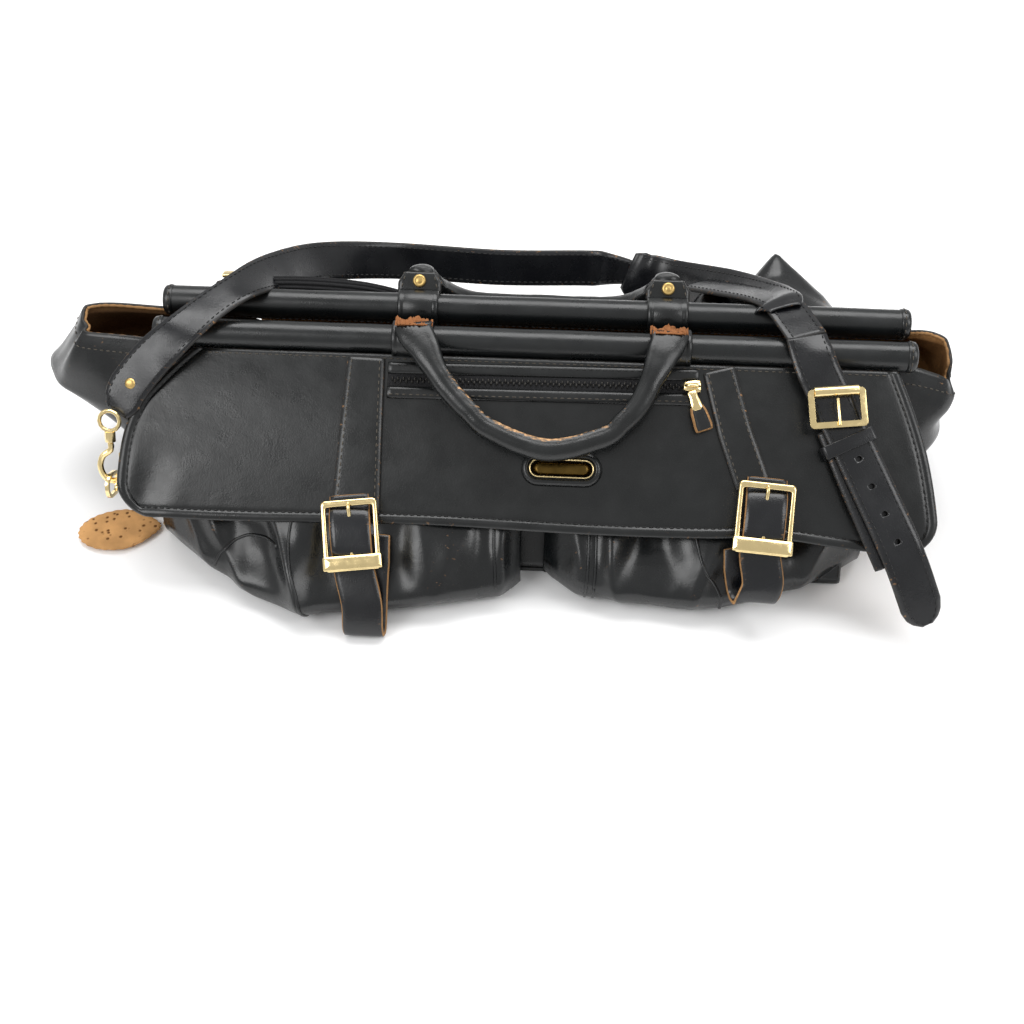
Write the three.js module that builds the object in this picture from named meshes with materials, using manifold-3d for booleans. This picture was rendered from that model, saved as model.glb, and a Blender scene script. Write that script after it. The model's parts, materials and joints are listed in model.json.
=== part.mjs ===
// A soft leather doctor bag with two padded frame rails, slumped on its base.
// Millimetres. X runs along the bag, -Y is the front with the flap, +Z is up.
// The origin is the centre of the flat base, on its underside.
import * as THREE from 'three';
import { mergeVertices } from 'three/addons/utils/BufferGeometryUtils.js';
import Module from 'manifold-3d';

const wasm = await Module();
wasm.setup();

// ---------------------------------------------------------------- driving dimensions

const LEATHER = 2.4;            // thickness of the body leather
const STRAP_LEATHER = 2.8;      // thickness of straps, two skins sewn together
const GAP = 0.5;                // running gap between pieces that touch

const RAIL = { halfLength: 260, radius: 10.5, rodRadius: 7.6, bore: 8, capLength: 3.5 };
const FRONT_RAIL = { y: -15, z: 133 };
const REAR_RAIL = { y: 19, z: 133 };

const BASE = { halfLength: 224, frontY: -106, rearY: 106, skin: 3, board: 3, boardInset: 8 };
const WALL = { halfWidth: 222, frontTop: [-17, 117.5], frontFoot: [-103, 5.4] };
const BACK_PROFILE = [[21.5, 117], [55, 88], [92, 57], [118, 32], [112, 6.5]];
// Near its right end the back wall stands up in a creased peak.
const PEAK_PROFILE = [[21.5, 117], [55, 108], [92, 112], [118, 107], [112, 6.5]];
const BACK_PEAK = { x: 178, spread: 24, profile: PEAK_PROFILE };
const GUSSET_START = 226;       // where the end gussets begin, beside the walls

const FLAP = { slope: 37, start: 15, length: 127, rise: 3, bulge: 2, sag: 7, thickness: 3 };
const STRAP_WIDTH = 27;         // shoulder strap
const CLOSING_WIDTH = 25;       // the two closing straps on the flap
const HANDLE_RADIUS = 7.5;
const HANDLE_CORE = { radius: 4.6, bore: 5 };
const TAB = { bore: RAIL.radius + GAP, radius: 13.8, width: 29, thickness: 4 };

const rad = THREE.MathUtils.degToRad;
const { lerp, smoothstep } = THREE.MathUtils;

// ---------------------------------------------------------------- materials

function finish(color, roughness, metalness) {
  return { color, roughness, metalness };
}
const BLACK = finish(0x16191a, 0.42, 0);
const TAN = finish(0xa9784a, 0.85, 0);
const BRASS = finish(0xd8bb6a, 0.28, 1);
const AGED_BRASS = finish(0x9a7d3c, 0.45, 1);
const STEEL = finish(0x8a8d90, 0.35, 1);
const BOARD = finish(0x5b4a38, 0.9, 0);
const ZIP_TAPE = finish(0x101112, 0.9, 0);
const CORD_CORE = finish(0xb9a888, 0.9, 0);

// ---------------------------------------------------------------- scene graph helpers

const bag = new THREE.Group();

const flapFrame = new THREE.Group();      // local -Y runs down the flap, +Z points away from it
flapFrame.position.set(0, FRONT_RAIL.y, FRONT_RAIL.z);
flapFrame.rotation.x = rad(FLAP.slope);
const rearFrame = new THREE.Group();      // centred on the rear rail
rearFrame.position.set(0, REAR_RAIL.y, REAR_RAIL.z);
const frontFrame = new THREE.Group();     // centred on the front rail
frontFrame.position.set(0, FRONT_RAIL.y, FRONT_RAIL.z);
bag.add(flapFrame, rearFrame, frontFrame);

function piece(name, geometry, look, parent = bag) {
  const mesh = new THREE.Mesh(geometry, new THREE.MeshStandardMaterial(look));
  mesh.name = name;
  parent.add(mesh);
  return mesh;
}

// ---------------------------------------------------------------- geometry helpers

// Closed thick sheet around the middle surface point(u, v), with u and v from 0 to 1.
function sheet(point, columns, rows, thickness) {
  const step = 1e-3;
  const at = (u, v) => new THREE.Vector3(...point(u, v));
  const normalAt = (u, v) => {
    const [u0, u1] = [Math.max(u - step, 0), Math.min(u + step, 1)];
    const [v0, v1] = [Math.max(v - step, 0), Math.min(v + step, 1)];
    const along = at(u1, v).sub(at(u0, v));
    const across = at(u, v1).sub(at(u, v0));
    return along.cross(across).normalize();
  };
  const positions = [];
  for (const side of [0.5, -0.5]) {
    for (let j = 0; j <= rows; j++) {
      for (let i = 0; i <= columns; i++) {
        const [u, v] = [i / columns, j / rows];
        const p = at(u, v).addScaledVector(normalAt(u, v), side * thickness);
        positions.push(p.x, p.y, p.z);
      }
    }
  }
  const top = (i, j) => j * (columns + 1) + i;
  const under = (i, j) => top(i, j) + (columns + 1) * (rows + 1);
  const triangles = [];
  const quad = (a, b, c, d) => triangles.push(a, b, c, a, c, d);
  for (let j = 0; j < rows; j++) {
    for (let i = 0; i < columns; i++) {
      quad(top(i, j), top(i + 1, j), top(i + 1, j + 1), top(i, j + 1));
      quad(under(i, j), under(i, j + 1), under(i + 1, j + 1), under(i + 1, j));
    }
  }
  for (let i = 0; i < columns; i++) {
    quad(under(i, 0), under(i + 1, 0), top(i + 1, 0), top(i, 0));
    quad(top(i, rows), top(i + 1, rows), under(i + 1, rows), under(i, rows));
  }
  for (let j = 0; j < rows; j++) {
    quad(top(0, j), top(0, j + 1), under(0, j + 1), under(0, j));
    quad(under(columns, j), under(columns, j + 1), top(columns, j + 1), top(columns, j));
  }
  const geometry = new THREE.BufferGeometry();
  geometry.setAttribute('position', new THREE.Float32BufferAttribute(positions, 3));
  geometry.setIndex(triangles);
  return geometry;
}

function smoothCurve(points) {
  return new THREE.CatmullRomCurve3(points.map((p) => new THREE.Vector3(...p)), false, 'centripetal');
}

// Flat strap along a curve of [x, y, z] points. Its width lies along the direction `across`,
// which may turn from the first to the last value given.
function strap(points, width, thickness, steps, across, acrossEnd = across) {
  const curve = smoothCurve(points);
  const first = new THREE.Vector3(...across).normalize();
  const last = new THREE.Vector3(...acrossEnd).normalize();
  return sheet((u, v) => {
    const p = curve.getPoint(u);
    const side = first.clone().lerp(last, u);
    const tangent = curve.getTangent(u);
    side.addScaledVector(tangent, -side.dot(tangent)).normalize();
    p.addScaledVector(side, (v - 0.5) * width);
    return [p.x, p.y, p.z];
  }, steps, 1, thickness);
}

function rectangle(width, height, radius = 0) {
  const [x, y] = [width / 2, height / 2];
  const shape = new THREE.Shape();
  if (radius === 0) {
    shape.moveTo(-x, -y).lineTo(x, -y).lineTo(x, y).lineTo(-x, y).closePath();
    return shape;
  }
  shape.moveTo(-x + radius, -y).lineTo(x - radius, -y);
  shape.absarc(x - radius, -y + radius, radius, -Math.PI / 2, 0);
  shape.absarc(x - radius, y - radius, radius, 0, Math.PI / 2);
  shape.absarc(-x + radius, y - radius, radius, Math.PI / 2, Math.PI);
  shape.absarc(-x + radius, -y + radius, radius, Math.PI, 1.5 * Math.PI);
  return shape;
}

function plate(shape, thickness, curveSegments = 4) {
  const settings = { depth: thickness, bevelEnabled: false, curveSegments };
  const geometry = new THREE.ExtrudeGeometry(shape, settings);
  return geometry.translate(0, 0, -thickness / 2);
}

// Plate with a window, such as a buckle frame.
function windowPlate(width, height, radius, bars, thickness, curveSegments = 4) {
  const shape = rectangle(width, height, radius);
  const [innerWidth, innerHeight] = [width - 2 * bars.side, height - bars.top - bars.bottom];
  const window = rectangle(innerWidth, innerHeight, Math.max(radius - bars.side, 0));
  const shift = new THREE.Vector2(0, (bars.bottom - bars.top) / 2);
  shape.holes.push(new THREE.Path(window.getPoints(curveSegments).map((p) => p.add(shift))));
  return plate(shape, thickness, curveSegments);
}

// Ring or tube along X, centred at the origin.
function tubeX(radius, bore, length, sides) {
  const shape = new THREE.Shape().absarc(0, 0, radius, 0, 2 * Math.PI);
  if (bore > 0) {
    shape.holes.push(new THREE.Path().absarc(0, 0, bore, 0, 2 * Math.PI, true));
  }
  return plate(shape, length, sides / 2).rotateY(Math.PI / 2);
}

function cylinderX(radius, length, sides) {
  return new THREE.CylinderGeometry(radius, radius, length, sides).rotateZ(Math.PI / 2);
}

function pipe(points, radius, bore, steps, sides = 8) {
  const shape = new THREE.Shape().absarc(0, 0, radius, 0, 2 * Math.PI);
  if (bore > 0) {
    shape.holes.push(new THREE.Path().absarc(0, 0, bore, 0, 2 * Math.PI, true));
  }
  const extrudePath = smoothCurve(points);
  const options = { steps, extrudePath, bevelEnabled: false, curveSegments: sides / 2 };
  return new THREE.ExtrudeGeometry(shape, options);
}

function toManifold(geometry) {
  const bare = geometry.clone();
  bare.deleteAttribute('normal');
  bare.deleteAttribute('uv');
  const merged = mergeVertices(bare, 1e-4);
  return new wasm.Manifold(new wasm.Mesh({
    numProp: 3,
    vertProperties: new Float32Array(merged.attributes.position.array),
    triVerts: new Uint32Array(merged.index.array),
  }));
}

function fromManifold(solid) {
  const mesh = solid.getMesh();
  const geometry = new THREE.BufferGeometry();
  geometry.setAttribute('position', new THREE.BufferAttribute(new Float32Array(mesh.vertProperties), 3));
  geometry.setIndex(new THREE.BufferAttribute(new Uint32Array(mesh.triVerts), 1));
  return geometry;
}

function cut(geometry, ...tools) {
  return fromManifold(tools.reduce((solid, tool) => solid.subtract(toManifold(tool)), toManifold(geometry)));
}

function join(geometry, ...others) {
  return fromManifold(others.reduce((solid, other) => solid.add(toManifold(other)), toManifold(geometry)));
}

// ---------------------------------------------------------------- base, walls and gussets

function frontWallY(z) {
  const [[topY, topZ], [footY, footZ]] = [WALL.frontTop, WALL.frontFoot];
  return lerp(footY, topY, (z - footZ) / (topZ - footZ));
}

function base() {
  const middleY = (BASE.frontY + BASE.rearY) / 2;
  const depth = BASE.rearY - BASE.frontY;
  const skin = new THREE.BoxGeometry(2 * BASE.halfLength, depth, BASE.skin);
  piece('base_panel', skin, BLACK).position.set(0, middleY, BASE.skin / 2);
  const inset = 2 * BASE.boardInset;
  const board = new THREE.BoxGeometry(2 * BASE.halfLength - inset, depth - inset, BASE.board);
  piece('base_stiffener_board', board, BOARD).position.set(0, middleY, BASE.skin + GAP + BASE.board / 2);
}

function walls() {
  const [top, foot] = [WALL.frontTop, WALL.frontFoot];
  const front = (u, v) => {
    const x = lerp(-WALL.halfWidth, WALL.halfWidth, u);
    return [x, lerp(foot[0], top[0], v), lerp(foot[1], top[1], v)];
  };
  piece('front_wall', sheet(front, 4, 4, LEATHER), BLACK);
  const slumped = smoothCurve(BACK_PROFILE.map(([y, z]) => [0, y, z]));
  const pulledUp = smoothCurve(BACK_PEAK.profile.map(([y, z]) => [0, y, z]));
  const back = (u, v) => {
    const x = lerp(WALL.halfWidth, -WALL.halfWidth, u);
    const rise = Math.exp(-(((x - BACK_PEAK.x) / BACK_PEAK.spread) ** 2));
    const p = slumped.getPoint(1 - v).lerp(pulledUp.getPoint(1 - v), rise);
    return [x, p.y, p.z];
  };
  piece('back_wall', sheet(back, 26, 14, LEATHER), BLACK);
}

// An end gusset stands out between the walls. It is creased at mid height and open at its rim.
function gusset(name, side, reach) {
  const [footZ, rimZ, crease] = [7, 117, 0.55];
  const surface = (u, v) => {
    const turn = Math.PI * u;
    const wallZ = lerp(footZ, rimZ, v);
    const z = wallZ + 11 * v * Math.sin(turn);
    const frontY = frontWallY(wallZ) - 1;
    const rearY = lerp(108, 22, v);
    const lower = v < crease;
    const t = lower ? v / crease : (v - crease) / (1 - crease);
    const bulge = lower ? lerp(reach.foot, reach.crease, t) : lerp(reach.crease, reach.rim, t);
    const squareness = lower ? lerp(0.9, 0.8, t) : lerp(0.8, 0.45, t);
    const halfDepth = (rearY - frontY) / 2;
    const along = Math.cos(turn);
    const y = (frontY + rearY) / 2 - halfDepth * Math.sign(along) * Math.abs(along) ** squareness;
    return [side * (GUSSET_START + bulge * Math.sin(turn) ** squareness), y, z];
  };
  const ordered = side > 0 ? surface : (u, v) => surface(1 - u, v);
  piece(name, sheet(ordered, 14, 8, LEATHER), BLACK);
}

// A gathered pocket: a panel that bellies out from the front wall, open at its top edge.
// `fullest` is where along it the pocket stands out most, from 0 to 1.
function pocket(name, fromX, toX, depth, fullest) {
  const [flattest, skin] = [0.1, 3];
  const section = [[-66, 86], [-92, 58], [-120, 34], [-138, 13], [-131, 3], [-110, 2.6]];
  const profile = smoothCurve(section.map(([y, z]) => [0, y, z]));
  const surface = (u, v) => {
    const p = profile.getPoint(v);
    const side = u < fullest ? (fullest - u) / fullest : (u - fullest) / (1 - fullest);
    const fullness = Math.max(Math.sqrt(1 - side ** 2.4), flattest);
    const wall = frontWallY(Math.max(p.z, WALL.frontFoot[1])) - skin;
    return [lerp(fromX, toX, u), lerp(wall, Math.min(wall, p.y * depth), fullness), p.z];
  };
  piece(name, sheet(surface, 16, 9, LEATHER), BLACK);
}

function frontPockets() {
  pocket('front_pocket_left', -221, -6, 1.09, 0.42);
  pocket('front_pocket_right', 8, 221, 1, 0.52);
}

// ---------------------------------------------------------------- frame rails

function rail(label, frame) {
  const sleeveLength = 2 * (RAIL.halfLength - RAIL.capLength - GAP);
  piece(`${label}_rail_sleeve`, tubeX(RAIL.radius, RAIL.bore, sleeveLength, 16), BLACK, frame);
  piece(`${label}_rail_rod`, cylinderX(RAIL.rodRadius, sleeveLength, 12), STEEL, frame);
  for (const [side, sign] of [['left', -1], ['right', 1]]) {
    const cap = piece(`${label}_rail_cap_${side}`, cylinderX(RAIL.radius, RAIL.capLength, 16), BLACK, frame);
    cap.position.x = sign * (RAIL.halfLength - RAIL.capLength / 2);
  }
}

// ---------------------------------------------------------------- flap

// Height of the flap's middle above the plane through the front rail, `down` mm from the rail.
function flapHeight(down) {
  const t = (down - FLAP.start) / (FLAP.length - FLAP.start);
  return FLAP.rise * (1 - t) + FLAP.bulge * Math.sin(Math.PI * t);
}

// Half-widths of the flap widen from the rail and turn in again at the rounded corners.
function flapEdge(down, nearRail, widest) {
  const t = (down - FLAP.start) / (FLAP.length - FLAP.start);
  const shoulder = Math.min(t / 0.45, 1);
  const width = lerp(nearRail, widest, Math.sin(shoulder * Math.PI / 2) ** 1.3);
  const corner = Math.max((t - 0.82) / 0.18, 0);
  return width - 26 * (1 - Math.sqrt(1 - 0.98 * corner * corner));
}

// The lower edge hangs further down at the right end.
function flapPanel() {
  const surface = (u, v) => {
    const down = lerp(FLAP.start, FLAP.length, v);
    const x = lerp(-flapEdge(down, 216, 276), flapEdge(down, 248, 273), u);
    const sag = FLAP.sag * smoothstep(x, 150, 235) * v * v;
    return [x, -down - sag, flapHeight(down)];
  };
  piece('flap', sheet(surface, 16, 12, FLAP.thickness), BLACK, flapFrame);
}

// The skin of the flap that faces out is FLAP.thickness / 2 above its middle.
function onFlap(down, above = GAP) {
  return flapHeight(down) + FLAP.thickness / 2 + above;
}

function closingStrap(side, x, top, bottom) {
  const middle = (top + bottom) / 2;
  const lift = GAP + STRAP_LEATHER / 2;
  const points = [top, middle, bottom].map((down, i) => [x[i], -down, onFlap(down, lift)]);
  const width = CLOSING_WIDTH;
  piece(`closing_strap_${side}`, strap(points, width, STRAP_LEATHER, 6, [1, 0, 0]), BLACK, flapFrame);
}

const BUCKLE = { width: 38, height: 48, radius: 3, thickness: 3, bars: { side: 5, top: 6, bottom: 11 } };
const BUCKLES = {
  left: { x: -115.5, down: 136, tilt: 7, height: 11.5 },
  right: { x: 159, down: 114.5, tilt: -4, height: 15 },
};

function flapBuckle(side) {
  const place = BUCKLES[side];
  const group = new THREE.Group();
  group.position.set(place.x, -place.down, place.height);
  group.rotation.z = rad(place.tilt);
  flapFrame.add(group);
  const frame = windowPlate(BUCKLE.width, BUCKLE.height, BUCKLE.radius, BUCKLE.bars, BUCKLE.thickness);
  piece(`flap_buckle_${side}`, frame, BRASS, group);
  const prong = cylinderX(1.3, 36, 8).rotateZ(Math.PI / 2);
  const tongue = piece(`flap_buckle_prong_${side}`, prong, BRASS, group);
  tongue.position.set(0, 3.5, BUCKLE.thickness / 2 + 1.3 + GAP);
}

// The loop of leather below each flap buckle hangs to the floor and turns back up under the flap.
function loopStrap(side, x, points) {
  const width = CLOSING_WIDTH - 3;
  const path = points.map(([y, z], i) => [x[0] + (x[1] - x[0]) * i / (points.length - 1), y, z]);
  piece(`loop_strap_${side}`, strap(path, width, STRAP_LEATHER, 18, [1, 0, 0]), BLACK);
}

function loopStraps() {
  const left = [[-150.5, 41], [-162, 27], [-171, 12], [-170.5, 4], [-164.5, 3.2], [-158.5, 13], [-149, 29],
    [-134, 43], [-121, 50.5]];
  loopStrap('left', [-107, -103], left);
  const right = [[-136, 54], [-143.5, 43], [-146.5, 33], [-143.5, 27.5], [-137, 29], [-130, 38],
    [-118, 48.5]];
  loopStrap('right', [160, 146], right);
}

// The zip runs across the flap near the rail, between the closing straps.
const ZIP = { left: -97, right: 114, down: 27, width: 13, pullTilt: 20 };

function flapZip() {
  const length = ZIP.right - ZIP.left;
  const middle = (ZIP.left + ZIP.right) / 2;
  const tape = new THREE.BoxGeometry(length, ZIP.width, 0.8);
  piece('flap_zip_tape', tape, ZIP_TAPE, flapFrame).position.set(middle, -ZIP.down, onFlap(ZIP.down, 1));
  const teeth = new THREE.BoxGeometry(length - 6, 4, 1.2);
  piece('flap_zip_teeth', teeth, ZIP_TAPE, flapFrame).position.set(middle, -ZIP.down, onFlap(ZIP.down, 2.4));
  const slider = new THREE.BoxGeometry(9, 7, 2.6);
  const sliderX = ZIP.right - 5;
  piece('flap_zip_slider', slider, BRASS, flapFrame).position.set(sliderX, -ZIP.down, onFlap(ZIP.down, 4.8));
  const pull = new THREE.Group();
  pull.position.set(sliderX, -ZIP.down - 5, onFlap(ZIP.down, 6));
  pull.rotation.z = rad(ZIP.pullTilt);
  flapFrame.add(pull);
  const link = windowPlate(6, 10, 2, { side: 1.6, top: 1.6, bottom: 1.6 }, 1.2, 3).translate(0, -5, 0);
  piece('flap_zip_pull_link', link, BRASS, pull);
  const tab = plate(rectangle(9.5, 14, 2), 2.4, 2).translate(0, -17.6, 0);
  piece('flap_zip_pull_tab', tab, BLACK, pull);
}

function flapPlate() {
  const [x, down] = [23.5, 85.5];
  const surround = windowPlate(52, 21, 5, { side: 3, top: 3, bottom: 3 }, 3);
  const place = [x, -down, onFlap(down, 1.5 + GAP)];
  piece('plate_surround', surround, BLACK, flapFrame).position.set(...place);
  const rim = windowPlate(44, 13, 6, { side: 2.2, top: 2.2, bottom: 2.2 }, 2.6, 5);
  const backing = plate(rectangle(41, 10, 4.5), 1, 5).translate(0, 0, -0.5);
  piece('oval_plate', join(rim, backing), BRASS, flapFrame).position.set(...place);
}

// ---------------------------------------------------------------- handles

// A leather tab wraps the rail and runs out to the end of the handle at the given angle.
function handleTab(name, frame, x, angle, reach) {
  const ring = tubeX(TAB.radius, TAB.bore, TAB.width, 16);
  const lug = new THREE.BoxGeometry(TAB.width, reach - TAB.bore - 1.5, TAB.thickness);
  lug.translate(0, -(reach + TAB.bore + 1.5) / 2, 0).rotateX(rad(angle));
  piece(name, join(ring, lug), BLACK, frame).position.x = x;
}

function handleGrip(label, frame, points) {
  const path = points.map((p) => [...p]);
  piece(`${label}_handle_grip`, pipe(path, HANDLE_RADIUS, HANDLE_CORE.bore, 22), BLACK, frame);
  piece(`${label}_handle_core`, pipe(path, HANDLE_CORE.radius, 0, 22, 6), CORD_CORE, frame);
}

function mirrorPath(halfPath, centreX) {
  const left = halfPath.map(([x, y, z]) => [centreX - x, y, z]);
  const right = halfPath.slice(0, -1).reverse().map(([x, y, z]) => [centreX + x, y, z]);
  return [...left, ...right];
}

function frontHandle() {
  const [centreX, spread] = [6.5, 87.5];
  for (const [side, sign] of [['left', -1], ['right', 1]]) {
    handleTab(`front_handle_tab_${side}`, flapFrame, centreX + sign * spread, -34, 21);
  }
  const grip = [[-77, -20.5, 18.5], [-66, -32, 20.5], [-52, -46, 20.5], [-30, -62, 20],
    [13, -75, 19.5], [53, -65, 20], [74, -46, 20.5], [84, -31, 20.5], [89, -20.5, 18.5]];
  handleGrip('front', flapFrame, grip);
}

function rearHandle() {
  const [centreX, spread, reach, angle, rivetAt] = [6, 86.5, 23.5, 228, 18.7];
  for (const [side, sign] of [['left', -1], ['right', 1]]) {
    const x = centreX + sign * spread;
    handleTab(`rear_handle_tab_${side}`, rearFrame, x, angle, reach);
    const rivet = new THREE.CylinderGeometry(4.4, 4.4, 1.6, 12);
    rivet.translate(0, TAB.thickness / 2 + 0.8 + GAP, 0);
    const head = new THREE.Group();
    head.position.set(x, -Math.cos(rad(angle)) * rivetAt, -Math.sin(rad(angle)) * rivetAt);
    head.rotation.x = rad(angle - 180);
    rearFrame.add(head);
    piece(`rear_handle_rivet_${side}`, rivet.rotateX(Math.PI / 2), AGED_BRASS, head);
  }
  const half = [[spread, 22.8, 13.7], [84, 32, 4], [77, 45, -17], [57, 58, -39], [26, 70, -51],
    [0, 74, -54]];
  handleGrip('rear', rearFrame, mirrorPath(half, centreX));
}

// ---------------------------------------------------------------- rear zip

// The zip of the back pocket stands up in a short ridge behind the left end of the rear rail.
function rearZip() {
  const ridge = [[-226, 41, 127], [-205, 40.5, 129.5], [-165, 40, 131], [-125, 40, 129], [-98, 41, 124]];
  piece('rear_zip_tape', strap(ridge, 13, 3, 12, [0, -0.35, 0.94]), ZIP_TAPE);
  const slider = piece('rear_zip_slider', new THREE.BoxGeometry(7, 9, 2.6), BRASS);
  slider.position.set(-219, 42.5, 138.5);
  slider.rotation.x = rad(-20);
}

// ---------------------------------------------------------------- shoulder strap and its hardware

const STRAP_LINE = { x: 200, down: 32, turn: 26 };    // where the strap crosses the flap, at its buckle
const BUCKLE_TURN = -20;        // degrees, from the line of the strap

function shoulderStrap() {
  const [frontTop, rearTop] = [FRONT_RAIL.z + RAIL.radius, REAR_RAIL.z + RAIL.radius];
  const lift = 5;
  const frontEnd = [[-288, -62, 110], [-272, -49, 127], [-249, -28, 148], [-229, -10, frontTop + lift]];
  const skewed = [0.7, -0.7, 0.1];
  piece('shoulder_strap_front_end', strap(frontEnd, STRAP_WIDTH, STRAP_LEATHER, 8, skewed), BLACK);
  const back = [[-214, 12, rearTop + lift], [-203, 38, rearTop + 4], [-188, 76, 119], [-166, 112, 93],
    [-132, 137, 79], [-80, 149, 74], [0, 153, 74], [44, 154, 76]];
  const behind = strap(back, STRAP_WIDTH, STRAP_LEATHER, 22, [0.8, -0.5, 0], [0, -1, 0]);
  piece('shoulder_strap_back', behind, BLACK);
  const pad = [[72, 153, 75], [97, 128, 87], [132, 84, 114], [161, 42, 146], [175, 16, rearTop + 11]];
  piece('shoulder_pad', strap(pad, 42, 5, 12, [0.72, 0.68, 0.05]), BLACK);
}

// Everything of the strap that lies on the flap shares this frame: -Y runs down the strap.
function strapOnFlap() {
  const group = new THREE.Group();
  group.position.set(STRAP_LINE.x, -STRAP_LINE.down, 0);
  group.rotation.z = rad(STRAP_LINE.turn);
  flapFrame.add(group);

  const skin = FLAP.rise + FLAP.bulge + FLAP.thickness / 2;
  const under = skin + 3 * GAP + 2 + STRAP_LEATHER / 2;
  const over = under + STRAP_LEATHER + GAP;
  const long = [[0, 11, over + 1], [0, -10, over], [0, -40, over], [0, -104, over], [0, -124, over - 4],
    [0, -146, over - 13], [0, -163, over - 22]];
  const holes = [-45, -65, -85, -105].map((y) => new THREE.CylinderGeometry(1.6, 1.6, 20, 8)
    .rotateX(Math.PI / 2).translate(0, y, over));
  const tongue = cut(strap(long, STRAP_WIDTH, STRAP_LEATHER, 14, [1, 0, 0]), ...holes);
  piece('shoulder_strap_tongue', tongue, BLACK, group);
  const short = [[-3, -26, under], [-5, -60, under], [-6, -104, under], [-6, -117, under - 2.5]];
  piece('shoulder_strap_short', strap(short, STRAP_WIDTH, STRAP_LEATHER, 8, [1, 0, 0]), BLACK, group);

  // The buckle hangs straighter than the strap it holds.
  const hang = new THREE.Group();
  hang.position.set(0, -9, 0);
  hang.rotation.z = rad(BUCKLE_TURN);
  group.add(hang);
  const [thickness, rollerRadius, prongRadius] = [2.6, 3.6, 1.2];
  const level = over + STRAP_LEATHER / 2 + GAP + rollerRadius + 0.8;
  const buckle = windowPlate(38, 26, 3, { side: 4, top: 3.4, bottom: 4 }, thickness);
  piece('shoulder_buckle_frame', buckle, BRASS, hang).position.set(0, 0, level);
  const roller = tubeX(rollerRadius, 2.6, 29, 12);
  piece('shoulder_buckle_roller', roller, BRASS, hang).position.set(0, 11.3, level);
  const prong = cylinderX(prongRadius, 18, 8).rotateZ(Math.PI / 2);
  const prongLevel = level + thickness / 2 + prongRadius + GAP;
  piece('shoulder_buckle_prong', prong, BRASS, hang).position.set(0, -3, prongLevel);
  keeper(group, under, over);
}

function keeper(group, under, over) {
  const [inner, wall] = [STRAP_WIDTH + 7, 1.8];
  const [low, high] = [under - STRAP_LEATHER / 2 - GAP, over + STRAP_LEATHER / 2 + GAP];
  const bars = { side: wall, top: wall, bottom: wall };
  const loop = windowPlate(inner + 2 * wall, high - low + 2 * wall, 2, bars, 9, 2).rotateX(Math.PI / 2);
  piece('shoulder_strap_keeper', loop, BLACK, group).position.set(-1.5, -33, (low + high) / 2);
}

// The snap hook on the left end of the strap holds the D-ring that is sewn to the gusset.
function snapHook() {
  const group = new THREE.Group();
  group.position.set(-284.5, -72, 101);
  group.rotation.x = rad(60);
  bag.add(group);
  const eye = new THREE.TorusGeometry(7, 1.5, 6, 14);
  const barrel = new THREE.CylinderGeometry(3.6, 3.6, 7, 10).translate(0, -11, 0);
  piece('snap_hook_swivel_eye', join(eye, barrel), BRASS, group);
  const hook = [[0, -15.6, 0], [0, -20, 0], [-6, -25, 0], [-8, -33, 0], [-4, -41, 0], [3, -42, 0],
    [7, -37, 0]];
  piece('snap_hook_body', pipe(hook, 2.2, 0, 18), BRASS, group);
  const gate = new THREE.CylinderGeometry(1.5, 1.5, 11.5, 8);
  piece('snap_hook_gate', gate, BRASS, group).position.set(6.6, -28, 0);
  const bars = { side: 2.6, top: 2.6, bottom: 2.6 };
  const ring = windowPlate(24, 17, 8, bars, 2.6, 5).rotateY(Math.PI / 2);
  piece('d_ring_left', ring, BRASS, group).position.set(-0.5, -44.7, 0);
}

function dRings() {
  const ring = windowPlate(32, 18, 8, { side: 2.6, top: 2.6, bottom: 2.6 }, 2.6, 5);
  const right = piece('d_ring_right', ring, BRASS, flapFrame);
  right.position.set(246, -118, -8);
  right.rotation.z = rad(STRAP_LINE.turn);
}

// ---------------------------------------------------------------- luggage tag

function luggageTag() {
  const outline = new THREE.Shape();
  outline.moveTo(0, 0).quadraticCurveTo(-14, 15, -34, 15);
  outline.quadraticCurveTo(-60, 14, -60, 0).quadraticCurveTo(-60, -14, -34, -15);
  outline.quadraticCurveTo(-14, -15, 0, 0);
  const group = new THREE.Group();
  group.position.set(-265, -79, 5);
  group.rotation.z = rad(10);
  bag.add(group);
  piece('luggage_tag', plate(outline, 3, 4), TAN, group).position.z = -1.6;
  const chain = new THREE.TorusGeometry(4, 0.9, 6, 12).rotateX(Math.PI / 2);
  piece('luggage_tag_ring', chain, BRASS, group).position.set(6, 0, 0);
}

base();
walls();
gusset('left_gusset', -1, { foot: 6, crease: 124, rim: 88 });
gusset('right_gusset', 1, { foot: 6, crease: 60, rim: 55 });
frontPockets();
rail('front', frontFrame);
rail('rear', rearFrame);
flapPanel();
closingStrap('left', [-112, -113, -114], 20, 110);
closingStrap('right', [127.5, 140, 150], 20, 92);
flapBuckle('left');
flapBuckle('right');
loopStraps();
flapZip();
flapPlate();
frontHandle();
rearHandle();
rearZip();
shoulderStrap();
strapOnFlap();
snapHook();
dRings();
luggageTag();

export default bag;
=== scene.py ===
"""Looks of a soft black leather doctor bag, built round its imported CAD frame. Shapes are worked out in mm."""

import json
import math

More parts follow.
